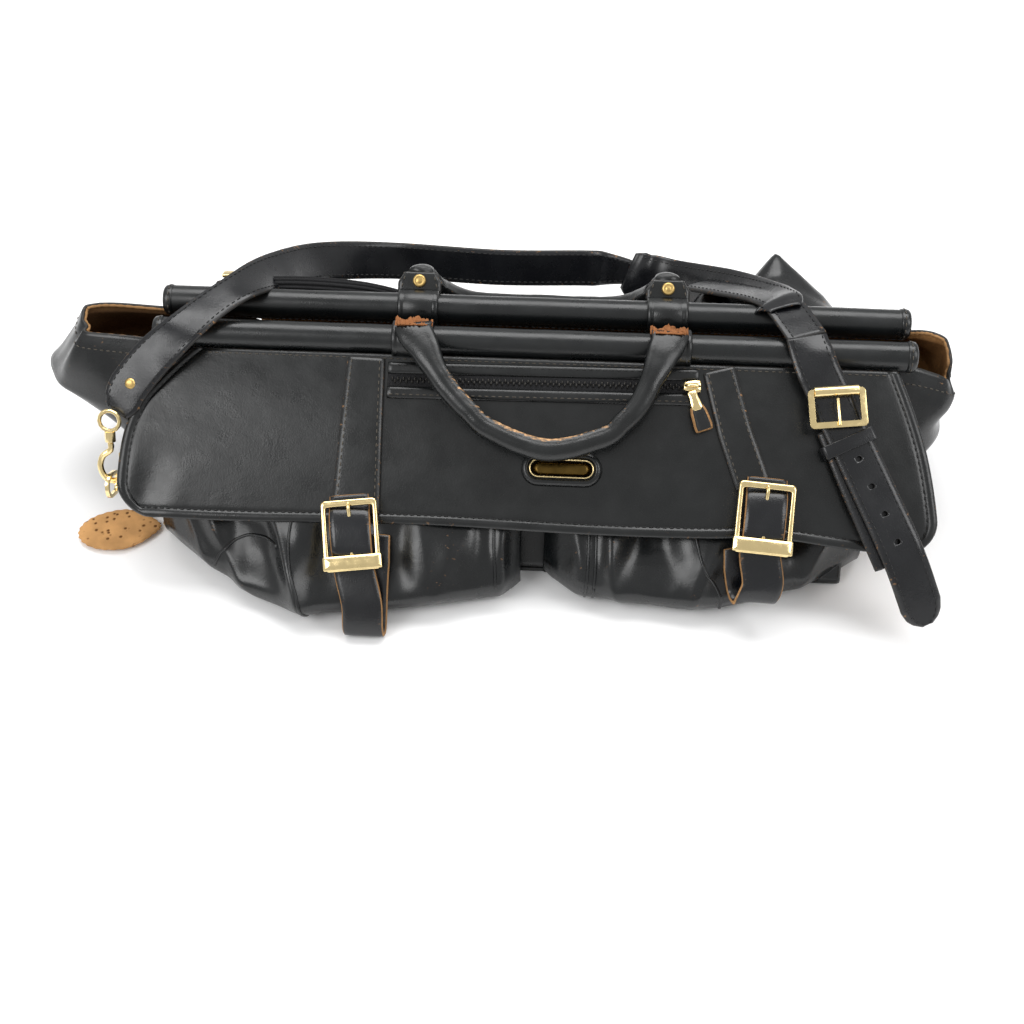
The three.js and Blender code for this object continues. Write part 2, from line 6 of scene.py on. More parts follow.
import bmesh
import bpy
import numpy as np
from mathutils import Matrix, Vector

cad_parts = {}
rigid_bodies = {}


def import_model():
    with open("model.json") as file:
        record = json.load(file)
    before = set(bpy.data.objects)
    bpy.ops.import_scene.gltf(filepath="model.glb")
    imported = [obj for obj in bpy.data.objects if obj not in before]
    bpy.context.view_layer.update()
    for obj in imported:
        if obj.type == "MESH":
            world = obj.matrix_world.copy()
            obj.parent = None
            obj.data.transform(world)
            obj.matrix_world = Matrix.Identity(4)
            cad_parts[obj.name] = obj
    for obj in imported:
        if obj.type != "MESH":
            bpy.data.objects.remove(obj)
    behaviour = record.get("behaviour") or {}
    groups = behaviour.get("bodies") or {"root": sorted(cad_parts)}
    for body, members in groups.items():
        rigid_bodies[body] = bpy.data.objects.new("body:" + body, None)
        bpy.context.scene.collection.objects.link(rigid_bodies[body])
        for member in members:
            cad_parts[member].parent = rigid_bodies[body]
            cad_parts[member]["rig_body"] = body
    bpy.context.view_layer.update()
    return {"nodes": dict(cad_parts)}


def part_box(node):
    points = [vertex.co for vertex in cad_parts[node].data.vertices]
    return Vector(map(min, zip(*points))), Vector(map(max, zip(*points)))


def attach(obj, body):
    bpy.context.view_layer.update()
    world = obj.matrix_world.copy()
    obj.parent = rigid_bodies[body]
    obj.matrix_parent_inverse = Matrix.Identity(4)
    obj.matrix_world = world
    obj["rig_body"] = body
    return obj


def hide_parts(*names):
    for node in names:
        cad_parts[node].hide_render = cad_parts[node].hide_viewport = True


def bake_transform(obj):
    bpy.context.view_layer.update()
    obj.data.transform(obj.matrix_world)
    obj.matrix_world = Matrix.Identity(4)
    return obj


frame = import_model()

MM = 0.001
FULL_TURN = 2 * math.pi
SLOPE = math.radians(37)          # of the flap
COS, SIN = math.cos(SLOPE), math.sin(SLOPE)


def box_mm(node):
    """The corners of a CAD node's box."""
    low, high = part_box(node)
    return np.array(low) / MM, np.array(high) / MM


def centre_mm(node):
    low, high = box_mm(node)
    return (low + high) / 2


# The middles of the two rails, and their radius.
FRONT = centre_mm("front_rail_sleeve")
REAR = centre_mm("rear_rail_sleeve")
RAIL_RADIUS = (box_mm("front_rail_sleeve")[1][2] - box_mm("front_rail_sleeve")[0][2]) / 2

# ------------------------------------------------------------------ camera, lights, floor


def aim(obj, target):
    """Turns a camera or light towards a point."""
    direction = Vector(target) - obj.location
    obj.rotation_euler = direction.to_track_quat("-Z", "Y").to_euler()


def add_camera():
    """A camera that looks down on the bag from the front, with a slightly long lens."""
    data = bpy.data.cameras.new("camera")
    camera = bpy.data.objects.new("camera", data)
    bpy.context.scene.collection.objects.link(camera)
    azimuth, elevation, distance = math.radians(3), math.radians(48), 0.975
    target = Vector((-0.00985, -0.086, 0.040))
    back = Vector((math.sin(azimuth) * math.cos(elevation), -math.cos(azimuth) * math.cos(elevation),
                   math.sin(elevation)))
    camera.location = target + distance * back
    aim(camera, target)
    data.sensor_width = 36
    data.lens = 49.113
    data.clip_start = 0.01
    bpy.context.scene.camera = camera


def add_light(name, place, target, size, power):
    """A rectangular area light that faces a point; sizes in metres and power in watts."""
    data = bpy.data.lights.new(name, "AREA")
    data.shape = "RECTANGLE"
    data.size, data.size_y = size
    data.energy = power
    light = bpy.data.objects.new(name, data)
    light.location = place
    bpy.context.scene.collection.objects.link(light)
    aim(light, target)


def add_stage():
    """The pale floor and soft, even studio light."""
    bpy.ops.mesh.primitive_plane_add(size=14, location=(0, 0, -0.0004))
    floor = bpy.context.object
    floor.name = "floor"
    material = bpy.data.materials.new("pale_floor")
    material.use_nodes = True
    shader = material.node_tree.nodes["Principled BSDF"]
    shader.inputs["Base Color"].default_value = (0.92, 0.92, 0.92, 1)
    shader.inputs["Roughness"].default_value = 0.7
    shader.inputs["Specular IOR Level"].default_value = 0.2
    floor.data.materials.append(material)
    world = bpy.data.worlds.new("studio")
    world.use_nodes = True
    background = world.node_tree.nodes["Background"]
    background.inputs["Color"].default_value = (1, 1, 1, 1)
    background.inputs["Strength"].default_value = 0.62
    bpy.context.scene.world = world
    middle_of_bag = (0, -0.05, 0.05)
    add_light("overhead", (0.05, 0.55, 1.5), middle_of_bag, (1.9, 0.9), 26)
    add_light("front_left", (-1.1, -0.9, 1.3), middle_of_bag, (0.9, 0.9), 13)
    add_light("front_right", (1.3, -0.5, 1.2), middle_of_bag, (0.7, 0.9), 8)
    bpy.context.scene.view_settings.view_transform = "Standard"


# ------------------------------------------------------------------ materials

TAN = (0.38, 0.19, 0.07)
TORN = (0.30, 0.12, 0.045)


class Nodes:
    """A material's node tree, with short ways to add and join nodes."""

    def __init__(self, name):
        self.material = bpy.data.materials.new(name)
        self.material.use_nodes = True
        self.tree = self.material.node_tree
        self.shader = self.tree.nodes["Principled BSDF"]
        self.place = self.add("ShaderNodeTexCoord").outputs["Object"]

    def add(self, kind, **values):
        node = self.tree.nodes.new(kind)
        for key, value in values.items():
            setattr(node, key, value)
        return node

    def link(self, output, socket):
        self.tree.links.new(output, socket)

    def noise(self, scale, detail=2.0, stretch=None):
        node = self.add("ShaderNodeTexNoise")
        node.inputs["Scale"].default_value = scale
        node.inputs["Detail"].default_value = detail
        self.link(self.stretched(stretch), node.inputs["Vector"])
        return node.outputs["Fac"]

    def cells(self, scale, stretch=None):
        node = self.add("ShaderNodeTexVoronoi", feature="F1")
        node.inputs["Scale"].default_value = scale
        self.link(self.stretched(stretch), node.inputs["Vector"])
        return node.outputs["Distance"]

    def stretched(self, stretch):
        if stretch is None:
            return self.place
        node = self.add("ShaderNodeMapping")
        node.inputs["Scale"].default_value = stretch
        self.link(self.place, node.inputs["Vector"])
        return node.outputs["Vector"]

    def ramp(self, value, low, high, to_low=0.0, to_high=1.0):
        node = self.add("ShaderNodeMapRange")
        numbers = {"From Min": low, "From Max": high, "To Min": to_low, "To Max": to_high}
        for socket, number in numbers.items():
            node.inputs[socket].default_value = number
        self.link(value, node.inputs["Value"])
        return node.outputs["Result"]

    def math(self, operation, a, b):
        node = self.add("ShaderNodeMath", operation=operation)
        for socket, value in zip(node.inputs, (a, b)):
            if isinstance(value, (int, float)):
                socket.default_value = value
            else:
                self.link(value, socket)
        return node.outputs[0]

    def mix(self, factor, a, b):
        node = self.add("ShaderNodeMix", data_type="RGBA")
        self.link(factor, node.inputs[0])
        for socket, value in ((node.inputs[6], a), (node.inputs[7], b)):
            if isinstance(value, tuple):
                socket.default_value = (*value, 1)
            else:
                self.link(value, socket)
        return node.outputs[2]

    def wear(self):
        return self.add("ShaderNodeAttribute", attribute_name="wear").outputs["Fac"]

    def bump(self, layers):
        """Layers of (height output, strength, distance in metres)."""
        normal = None
        for height, strength, distance in layers:
            node = self.add("ShaderNodeBump")
            node.inputs["Strength"].default_value = strength
            node.inputs["Distance"].default_value = distance
            self.link(height, node.inputs["Height"])
            if normal is not None:
                self.link(normal, node.inputs["Normal"])
            normal = node.outputs["Normal"]
        self.link(normal, self.shader.inputs["Normal"])

    def set(self, **values):
        for key, value in values.items():
            self.shader.inputs[key.replace("_", " ")].default_value = value


def shade(color, factor):
    """A colour made lighter or darker."""
    return tuple(min(1.0, c * factor) for c in color)


def leather(name, color, roughness, worn=TAN, crease=0.5, grain=0.35, wear_from=0.35):
    """Semi-gloss leather: pebble grain, soft wrinkles, uneven gloss, and worn places where `wear` is high."""
    n = Nodes(name)
    blotches = n.noise(14, 4)
    base = n.mix(n.ramp(blotches, 0.3, 0.7), shade(color, 0.75), shade(color, 1.3))
    scuffs = n.noise(260, 5, (1, 2.2, 1))
    worn_at = n.math("ADD", n.wear(), n.ramp(scuffs, 0.35, 0.7, -0.35, 0.35))
    worn_share = n.ramp(worn_at, wear_from, wear_from + 0.3)
    patchy = n.mix(n.ramp(n.noise(420, 3), 0.35, 0.65), shade(worn, 0.55), shade(worn, 1.35))
    n.link(n.mix(worn_share, base, patchy), n.shader.inputs["Base Color"])
    gloss = n.ramp(n.noise(55, 4), 0.3, 0.75, roughness - 0.07, roughness + 0.09)
    n.link(n.math("ADD", gloss, n.math("MULTIPLY", worn_share, 0.35)), n.shader.inputs["Roughness"])
    wrinkles = (n.noise(38, 5, (1, 1.6, 1)), crease, 0.0011)
    pebbles = (n.cells(900), grain, 0.00016)
    pores = (n.noise(1500, 2), grain * 0.6, 0.0001)
    n.bump([wrinkles, pebbles, pores])
    return n.material


def flesh(name, color):
    """The raw, fibrous inner side of leather."""
    n = Nodes(name)
    fibres = n.noise(600, 6)
    base = n.mix(n.ramp(n.noise(30, 5), 0.3, 0.7), shade(color, 0.6), shade(color, 1.25))
    n.link(n.mix(n.ramp(fibres, 0.35, 0.65), shade(color, 0.7), base), n.shader.inputs["Base Color"])
    n.set(Roughness=0.92, Specular_IOR_Level=0.2)
    n.bump([(n.noise(70, 4), 0.5, 0.0009), (fibres, 0.6, 0.0002)])
    return n.material


def suede_material():
    """Tan suede with dark pits."""
    n = Nodes("tan_suede")
    pits = n.cells(210)
    color = (0.55, 0.30, 0.12)
    base = n.mix(n.ramp(n.noise(60, 5), 0.3, 0.7), shade(color, 0.7), shade(color, 1.15))
    n.link(n.mix(n.ramp(pits, 0.16, 0.3), (0.14, 0.06, 0.02), base), n.shader.inputs["Base Color"])
    n.set(Roughness=0.95, Specular_IOR_Level=0.15)
    n.bump([(n.ramp(pits, 0.12, 0.35), 0.8, 0.0007), (n.noise(900, 4), 0.5, 0.0002)])
    return n.material


def metal(name, color, roughness, dirt):
    """Plated metal: faint polishing marks, small pits and darker tarnish in patches."""
    n = Nodes(name)
    tarnish = n.ramp(n.noise(170, 5), 0.45, 0.75, 0, dirt)
    n.link(n.mix(tarnish, color, shade(color, 0.35)), n.shader.inputs["Base Color"])
    gloss = n.ramp(n.noise(340, 4), 0.3, 0.7, roughness - 0.06, roughness + 0.12)
    n.link(gloss, n.shader.inputs["Roughness"])
    n.set(Metallic=1.0)
    n.bump([(n.noise(200, 2), 0.05, 0.0002), (n.noise(1800, 2, (1, 8, 1)), 0.04, 0.00005)])
    return n.material


def woven(name, color, scale):
    """Ribbed, woven cloth or cord."""
    n = Nodes(name)
    weave = n.add("ShaderNodeTexWave", bands_direction="DIAGONAL")
    weave.inputs["Scale"].default_value = scale
    weave.inputs["Distortion"].default_value = 1.5
    n.link(n.place, weave.inputs["Vector"])
    threads = weave.outputs["Fac"]
    n.link(n.mix(threads, shade(color, 0.6), shade(color, 1.5)), n.shader.inputs["Base Color"])
    n.set(Roughness=0.85, Specular_IOR_Level=0.3)
    n.bump([(threads, 0.7, 0.0002)])
    return n.material


def thread_material(name, color):
    """Twisted thread."""
    n = Nodes(name)
    twist = n.noise(1400, 2)
    base = n.mix(n.ramp(twist, 0.3, 0.7), shade(color, 0.6), shade(color, 1.3))
    n.link(base, n.shader.inputs["Base Color"])
    n.set(Roughness=0.8)
    n.bump([(twist, 0.5, 0.0002)])
    return n.material


BLACK = leather("black_leather", (0.0040, 0.0047, 0.0049), 0.30, crease=0.35, grain=0.22)
RAIL = leather("rail_leather", (0.0045, 0.0054, 0.0058), 0.30, crease=0.25, grain=0.2)
STRAP = leather("strap_leather", (0.0040, 0.0045, 0.0058), 0.27, crease=0.2, grain=0.25)
HANDLE = leather("handle_leather", (0.0048, 0.0056, 0.0058), 0.29, (0.42, 0.24, 0.11), crease=0.4, grain=0.25)
POCKET = leather("pocket_leather", (0.0042, 0.0050, 0.0054), 0.27, crease=0.4, grain=0.2)
FLESH = flesh("tan_flesh_side", TAN)
DARK_FLESH = flesh("shaded_flesh_side", (0.20, 0.105, 0.045))
EDGE = flesh("raw_tan_edge", (0.33, 0.18, 0.075))
INKED_EDGE = leather("inked_edge", (0.014, 0.013, 0.012), 0.6, worn=(0.25, 0.13, 0.05), wear_from=0.3)
TORN_LEATHER = flesh("torn_leather", TORN)
SUEDE = suede_material()
BRASS = metal("brass", (0.88, 0.70, 0.36), 0.17, 0.16)
DARK_BRASS = metal("shaded_brass", (0.12, 0.075, 0.02), 0.30, 0.5)
AGED_BRASS = metal("aged_brass", (0.62, 0.43, 0.16), 0.34, 0.6)
STEEL = metal("steel_rod", (0.5, 0.51, 0.52), 0.35, 0.3)
TAPE = woven("zip_tape", (0.010, 0.010, 0.011), 900)
TEETH = metal("dark_zip_teeth", (0.045, 0.043, 0.040), 0.42, 0.4)
CORD = woven("cord_filler", (0.55, 0.46, 0.33), 500)
THREAD = thread_material("black_thread", (0.016, 0.016, 0.016))
PALE_THREAD = thread_material("worn_thread", (0.075, 0.064, 0.050))
BOARD = flesh("fibreboard", (0.22, 0.15, 0.09))

# ------------------------------------------------------------------ geometry


def unit(v):
    """Vectors of length 1."""
    v = np.asarray(v, float)
    return v / np.maximum(np.linalg.norm(v, axis=-1, keepdims=True), 1e-9)


def xyz(x, y, z):
    """Points from three coordinates, each an array or one number."""
    return np.stack(np.broadcast_arrays(np.asarray(x, float), y, z), -1)


def at_height(outline, z):
    """An outline of x and y, lifted to z."""
    return np.c_[outline, np.full(len(outline), z)]


def circle(sides):
    """The cosine and sine of even steps round a circle."""
    angle = np.linspace(0, FULL_TURN, sides, endpoint=False)
    return np.cos(angle), np.sin(angle)


def smooth_step(x, low, high):
    """Rises smoothly from 0 at low to 1 at high."""
    t = np.clip((np.asarray(x, float) - low) / (high - low), 0, 1)
    return t * t * (3 - 2 * t)


def wobble(points, scale, seed, octaves=2):
    """Smooth, repeatable noise of about -1 to 1 at points in mm; scale is the size of its lumps in mm."""
    rng = np.random.default_rng(seed)
    points = np.asarray(points, float)
    waves_per_octave, finer, fainter = 5, 1.9, 1.8
    total = np.zeros(points.shape[:-1])
    for octave in range(octaves):
        for _ in range(waves_per_octave):
            wave = unit(rng.normal(size=3)) * (FULL_TURN / scale) * finer ** octave * rng.uniform(0.7, 1.3)
            total += np.sin(points @ wave + rng.uniform(0, 7)) * 1.5 / waves_per_octave / fainter ** octave
    return total


def curve_through(points, count):
    """`count` points at even distances on a Catmull-Rom curve through the given rows."""
    rows = np.asarray(points, float)
    padded = np.vstack([2 * rows[0] - rows[1], rows, 2 * rows[-1] - rows[-2]])
    fine = []
    for i in range(1, len(padded) - 2):
        p0, p1, p2, p3 = padded[i - 1:i + 3]
        for t in np.linspace(0, 1, 24, endpoint=False):
            fine.append(0.5 * (2 * p1 + (p2 - p0) * t + (2 * p0 - 5 * p1 + 4 * p2 - p3) * t ** 2
                               + (3 * p1 - p0 - 3 * p2 + p3) * t ** 3))
    fine = np.array(fine + [rows[-1]])
    travelled = np.r_[0, np.cumsum(np.linalg.norm(np.diff(fine[:, :3], axis=0), axis=1))]
    even = np.linspace(0, travelled[-1], count)
    return np.stack([np.interp(even, travelled, fine[:, k]) for k in range(fine.shape[1])], -1)


def length_of(path):
    """The length of a path of points."""
    return float(np.linalg.norm(np.diff(path[:, :3], axis=0), axis=1).sum())


def grid_normals(grid):
    """The outward direction at each point of a grid."""
    along, down = np.gradient(grid, axis=1), np.gradient(grid, axis=0)
    return unit(np.cross(along, down))


def facing(grid, direction):
    """The grid, with its columns in the order that makes its outer side face the direction."""
    return grid[:, ::-1] if (grid_normals(grid) @ direction).mean() < 0 else grid


class Piece:
    """Gathers faces in mm, each with a material, and becomes one Blender object."""

    def __init__(self, name, *materials):
        self.name, self.materials = name, list(materials)
        self.verts, self.faces, self.slots, self.worn = [], [], [], []
        self.count = 0

    def add(self, verts, faces, slots, worn=None):
        verts = np.asarray(verts, float).reshape(-1, 3)
        self.verts.append(verts)
        self.faces += [[i + self.count for i in face] for face in faces]
        self.slots += [slots] * len(faces) if isinstance(slots, int) else list(slots)
        self.worn.append(np.zeros(len(verts)) if worn is None else np.asarray(worn, float).reshape(-1))
        self.count += len(verts)

    def material_slot(self, material):
        if material not in self.materials:
            self.materials.append(material)
        return self.materials.index(material)

    def shell(self, grid, thickness, worn=None, slots=(0, 1, 2)):
        """A closed sheet round a grid of points. Its outer side is where columns cross rows.

        The slots are those of the outer side, the inner side and the rounded rim."""
        rows, columns = grid.shape[:2]
        size = rows * columns
        normal = grid_normals(grid)
        thick = np.asarray(thickness, float)
        thick = thick[..., None] if thick.ndim else thick
        worn = np.zeros((rows, columns)) if worn is None else worn
        index = np.arange(size).reshape(rows, columns)
        top = np.stack([index[:-1, :-1], index[:-1, 1:], index[1:, 1:], index[1:, :-1]], -1).reshape(-1, 4)

        rim = np.array([(0, k) for k in range(columns - 1)] + [(k, columns - 1) for k in range(rows - 1)]
                       + [(rows - 1, k) for k in range(columns - 1, 0, -1)]
                       + [(k, 0) for k in range(rows - 1, 0, -1)])
        inner = np.clip(rim, 1, [rows - 2, columns - 2])
        rim_at, inner_at = tuple(rim.T), tuple(inner.T)
        rim_thick = np.broadcast_to(thick, grid.shape)[rim_at]
        bulge = grid[rim_at] + unit(grid[rim_at] - grid[inner_at]) * 0.35 * rim_thick

        above, below = grid + normal * thick / 2, grid - normal * thick / 2
        verts = np.vstack([above.reshape(-1, 3), below.reshape(-1, 3), bulge])
        faces = top.tolist() + (size + top[:, ::-1]).tolist()
        kinds = [slots[0]] * len(top) + [slots[1]] * len(top) + [slots[2]] * (2 * len(rim))
        flat = index[rim_at]
        for k in range(len(rim)):
            m = (k + 1) % len(rim)
            faces.append([flat[m], flat[k], 2 * size + k, 2 * size + m])
            faces.append([2 * size + m, 2 * size + k, size + flat[k], size + flat[m]])
        least_rim_wear = 0.1
        edge_worn = np.maximum(worn[rim_at], least_rim_wear)
        self.add(verts, faces, kinds, np.r_[worn.ravel(), worn.ravel(), edge_worn])

    def tube(self, rings, slot=0, worn=None, closed=False):
        """A tube through rings of points: rings[i][j] is point j of ring i. It has flat ends or is closed."""
        count, sides = rings.shape[:2]
        index = np.arange(count * sides).reshape(count, sides)
        following = np.roll(index, -1, 0)
        stretches = slice(None) if closed else slice(count - 1)
        around = [index, np.roll(index, -1, 1), np.roll(following, -1, 1), following]
        faces = np.stack([corner[stretches] for corner in around], -1).reshape(-1, 4).tolist()
        if not closed:
            faces.append(index[0, ::-1].tolist())
            faces.append(index[-1].tolist())
        self.add(rings.reshape(-1, 3), faces, slot, worn)

    def rod(self, path, radius, sides=12, slot=0):
        """A round rod along a path of points; radius may be one number or one for each point."""
        path = np.asarray(path, float)
        tangent = unit(np.gradient(path, axis=0))
        side = unit(np.cross(tangent, [0.013, 0.21, 1.0]))
        up = np.cross(side, tangent)
        cosine, sine = circle(sides)
        radius = np.broadcast_to(np.asarray(radius, float), (len(path),))[:, None, None]
        spokes = cosine[None, :, None] * side[:, None] + sine[None, :, None] * up[:, None]
        rings = path[:, None] + radius * spokes
        self.tube(rings[:, ::-1], slot)

    def stitches(self, path, normal, material=None):
        """Thread that shows in short lengths along a path."""
        pitch, length, radius = 4.6, 3.1, 0.42
        slot = self.material_slot(material or THREAD)
        path = np.asarray(path, float)
        count = max(2, int(length_of(path) / pitch))
        centres = curve_through(path, count * 2 + 1)[1::2]
        along = unit(np.gradient(centres, axis=0))
        normals = np.broadcast_to(np.asarray(normal, float), path.shape)
        share, path_share = np.linspace(0, 1, len(centres)), np.linspace(0, 1, len(path))
        up = np.stack([np.interp(share, path_share, normals[:, k]) for k in range(3)], -1)
        side = unit(np.cross(along, up))
        up = np.cross(side, along)
        corners = [(-0.5, 0, 0), (-0.3, 1, 0), (-0.3, 0, 1), (-0.3, -1, 0),
                   (0.3, 1, 0), (0.3, 0, 1), (0.3, -1, 0), (0.5, 0, 0)]
        sides = [[0, 1, 2], [0, 2, 3], [1, 4, 5, 2], [2, 5, 6, 3], [7, 5, 4], [7, 6, 5], [3, 6, 4, 1],
                 [0, 3, 1], [7, 4, 6]]
        verts, faces = [], []
        for k, centre in enumerate(centres):
            for x, y, z in corners:
                verts.append(centre + along[k] * x * length + side[k] * y * radius + up[k] * z * radius * 1.1)
            faces += [[8 * k + i for i in face] for face in sides]
        self.add(verts, faces, slot)

    def make(self, body=None, replaces=(), slot=None, blend=None):
        """The finished object, on one body, or, when blend is given, with its transform baked and on no body;
        the bodies and points in blend are not used.
        """
        verts = np.vstack(self.verts) * MM
        mesh = bpy.data.meshes.new(self.name)
        mesh.from_pydata(verts.tolist(), [], self.faces)
        for material in self.materials:
            mesh.materials.append(material)
        mesh.polygons.foreach_set("material_index", self.slots)
        mesh.polygons.foreach_set("use_smooth", [True] * len(mesh.polygons))
        wear = mesh.attributes.new("wear", "FLOAT", "POINT")
        wear.data.foreach_set("value", np.concatenate(self.worn))
        mesh.update()
        obj = bpy.data.objects.new(self.name, mesh)
        bpy.context.scene.collection.objects.link(obj)
        if blend:
            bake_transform(obj)
        else:
            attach(obj, body)
        if replaces:
            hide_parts(*replaces)
        return obj


def ribbon_grid(path, across, width, columns=7, crown=0.3):
    """A grid for a flat strap: rows follow the path, columns lie along `across`. Width may vary along it."""
    path = np.asarray(path, float)
    tangent = unit(np.gradient(path, axis=0))
    across = np.broadcast_to(np.asarray(across, float), path.shape)
    side = unit(across - tangent * (across * tangent).sum(-1, keepdims=True))
    normal = np.cross(side, tangent)
    width = np.broadcast_to(np.asarray(width, float), (len(path),))
    v = np.linspace(-0.5, 0.5, columns)
    rounding = crown * (1 - (2 * v) ** 4)
    return (path[:, None] + side[:, None] * (width[:, None] * v)[..., None]
            + normal[:, None] * rounding[None, :, None])


def rim_wear(grid, amount):
    """Wear along the two long edges of a strap's grid."""
    worn = np.zeros(grid.shape[:2])
    worn[:, [0, -1]] = amount
    return worn


def strap_piece(name, path, across, width, thickness, materials, stitch=None, inset=3.2):
    """A flat strap with its rows of stitching; the outer side is across x path."""
    columns = 9
    piece = Piece(name, *materials)
    grid = ribbon_grid(path, across, width, columns)
    piece.shell(grid, thickness, rim_wear(grid, 0.16))
    if stitch is not None:
        normal = grid_normals(grid)
        widths = np.broadcast_to(np.asarray(width, float), (len(path),))
        share = np.clip(inset / widths, 0, 0.4)[:, None]
        for end in (0, -1):
            inward = grid[:, end] + (grid[:, columns // 2] - grid[:, end]) * 2 * share
            piece.stitches(inward + normal[:, end] * (thickness / 2 + 0.3), normal[:, end], stitch)
    return piece


def on_flap(x, down, height):
    """Points given by their place on the flap: along it, down it from the rail, and out from it."""
    x, down, height = np.broadcast_arrays(np.asarray(x, float), down, height)
    return xyz(x, FRONT[1] - down * COS - height * SIN, FRONT[2] - down * SIN + height * COS)


def flap_place(world):
    """The other way round: the place on the flap of a point."""
    back, up = FRONT[1] - world[1], FRONT[2] - world[2]
    return world[0], back * COS + up * SIN, back * SIN - up * COS


FLAP_OUT = np.array([0, -SIN, COS])
FLAP_DOWN = np.array([0, -COS, -SIN])

# ------------------------------------------------------------------ the flap

FLAP_TOP, FLAP_LENGTH, FLAP_THICK = 11.6, 127.0, 3.0
FLAP_FREE = 15         # how far down the flap leaves the rail
FLAP_SEAM = 5.9        # from the flap's edge to its stitches

# The flap's left (-1) and right (1) edges: how far down, and how far from the middle.
FLAP_EDGES = {
    -1: curve_through([(11, 230), (22, 242), (37, 256), (50, 266.5), (69, 274), (97, 277), (127, 277)], 80),
    1: curve_through([(11, 247), (40, 258), (63, 265.5), (86, 271), (110, 275), (127, 277)], 80),
}


def flap_half_width(down, sign):
    """How far the flap reaches to the left (-1) or right (1), with its rounded lower corners."""
    edge = FLAP_EDGES[sign]
    corner_top, corner_cut = 105, 27
    corner = np.clip((down - corner_top) / (FLAP_LENGTH - corner_top), 0, 1)
    return np.interp(down, edge[:, 0], edge[:, 1]) - corner_cut * (1 - np.sqrt(1 - 0.985 * corner * corner))


def flap_height(x, down):
    """Middle of the flap's leather: the broad bulge of the panel, with the slack of old leather."""
    t = (down - FLAP_FREE) / (FLAP_LENGTH - FLAP_FREE)
    broad = 3 * (1 - t) + 2 * np.sin(math.pi * np.clip(t, 0, 1))
    slack = 0.55 * wobble(xyz(x, down * 1.4, 0), 150, 3, 1) * smooth_step(down, 18, 60)
    left_waves = 1.5 * np.sin((x + 255) / 9.0 + down / 22)
    right_waves = 2.0 * np.sin((x - 205) / 11.0)
    return (broad + slack + left_waves * smooth_step(-x, 225, 262) * smooth_step(down, 60, 120)
            + right_waves * smooth_step(x, 205, 240) * smooth_step(down, 95, 135))


def flap_sag(x, down):
    """How much further down the flap's lower part hangs, most of all at its right end."""
    v = np.clip((down - FLAP_FREE) / (FLAP_LENGTH - FLAP_FREE), 0, 1)
    edge_sag = 8.5 * smooth_step(x, 150, 240) - 1.5 * smooth_step(x, 120, 180) + 1.2 * np.sin(x / 46)
    return edge_sag * v * v


def on_leather(x, down, lift=0.0):
    """Points above the flap's outer surface, where it doesn't sag."""
    return on_flap(x, down, flap_height(x, down) + FLAP_THICK / 2 + lift)


def on_sagged_leather(x, down, lift):
    """The same where the flap's lower part hangs further down."""
    return on_flap(x, down + flap_sag(x, down), flap_height(x, down) + FLAP_THICK / 2 + lift)


def make_flap():
    """The flap, with a turned edge, a groove and rows of stitches."""
    piece = Piece("flap_leather", BLACK, FLESH, INKED_EDGE)
    # Steps in from the edge, close enough together to show its fold and groove.
    fine = np.array([0, 0.9, 1.9, 2.9, 3.8, 4.7, 5.6, 6.6, 8.5])
    downs = np.r_[np.linspace(FLAP_TOP, FLAP_LENGTH - 10, 52), FLAP_LENGTH - fine[::-1]]
    rows = []
    for down in downs:
        left, right = -flap_half_width(down, -1), flap_half_width(down, 1)
        rows.append(np.r_[left + fine, np.linspace(left + 12, right - 12, 150), right - fine[::-1]])
    x = np.array(rows)
    down = np.repeat(downs[:, None], x.shape[1], 1)
    edge = np.minimum(np.minimum(x - x[:, :1], x[:, -1:] - x), FLAP_LENGTH - down)
    fold_width = 5.0
    turned_edge = np.sin(math.pi * np.clip(edge / fold_width, 0, 1)) * (edge < fold_width)
    groove = 0.55 * np.exp(-((edge - FLAP_SEAM) / 0.8) ** 2)
    grid = on_flap(x, down + flap_sag(x, down), flap_height(x, down) + turned_edge - groove)
    rubbed = 0.12 * np.exp(-(edge / 1.4) ** 2)
    piece.shell(grid[::-1], FLAP_THICK, rubbed[::-1])

    last_row = FLAP_LENGTH - FLAP_SEAM
    down = np.linspace(16, last_row, 90)
    for sign in (-1, 1):
        x = sign * (flap_half_width(down, sign) - FLAP_SEAM)
        piece.stitches(on_sagged_leather(x, down, -0.15)[down < last_row - 1], FLAP_OUT)
    ends = [sign * (float(flap_half_width(last_row, sign)) - FLAP_SEAM) for sign in (-1, 1)]
    x = np.linspace(*ends, 160)
    piece.stitches(on_sagged_leather(x, np.full_like(x, last_row), -0.15), FLAP_OUT)
    top_seam = 14.2
    x = np.linspace(-222, 240, 160)
    piece.stitches(on_leather(x, top_seam, 0.05), FLAP_OUT, PALE_THREAD)
    piece.make("flap", ["flap"], "black_leather")


def closing_strap(side, downs, centres, widths):
    """A strap sewn to the flap, given by its middle and width at some places down the flap."""
    down = np.linspace(downs[0], downs[-1], 40)
    path = on_leather(np.interp(down, downs, centres), down, 1.5)
    width = np.interp(down, downs, widths)
    materials = (BLACK, FLESH, INKED_EDGE)
    name = f"closing_strap_leather_{side}"
    piece = strap_piece(name, path, (-1, 0, 0), width, 2.4, materials, PALE_THREAD, 2.6)
    piece.make("flap", [f"closing_strap_{side}"], "strap_leather")


# ------------------------------------------------------------------ buckles and loop straps

# Where each flap buckle lies: along the flap, down it, its tilt in degrees, and its height.
BUCKLES = {"left": (-115.5, 136, 7, 11.5), "right": (159, 114.5, -4, 15)}


def turned(local, turn):
    """The x and y of points, turned by an angle."""
    cosine, sine = math.cos(turn), math.sin(turn)
    return local[..., 0] * cosine - local[..., 1] * sine, local[..., 0] * sine + local[..., 1] * cosine


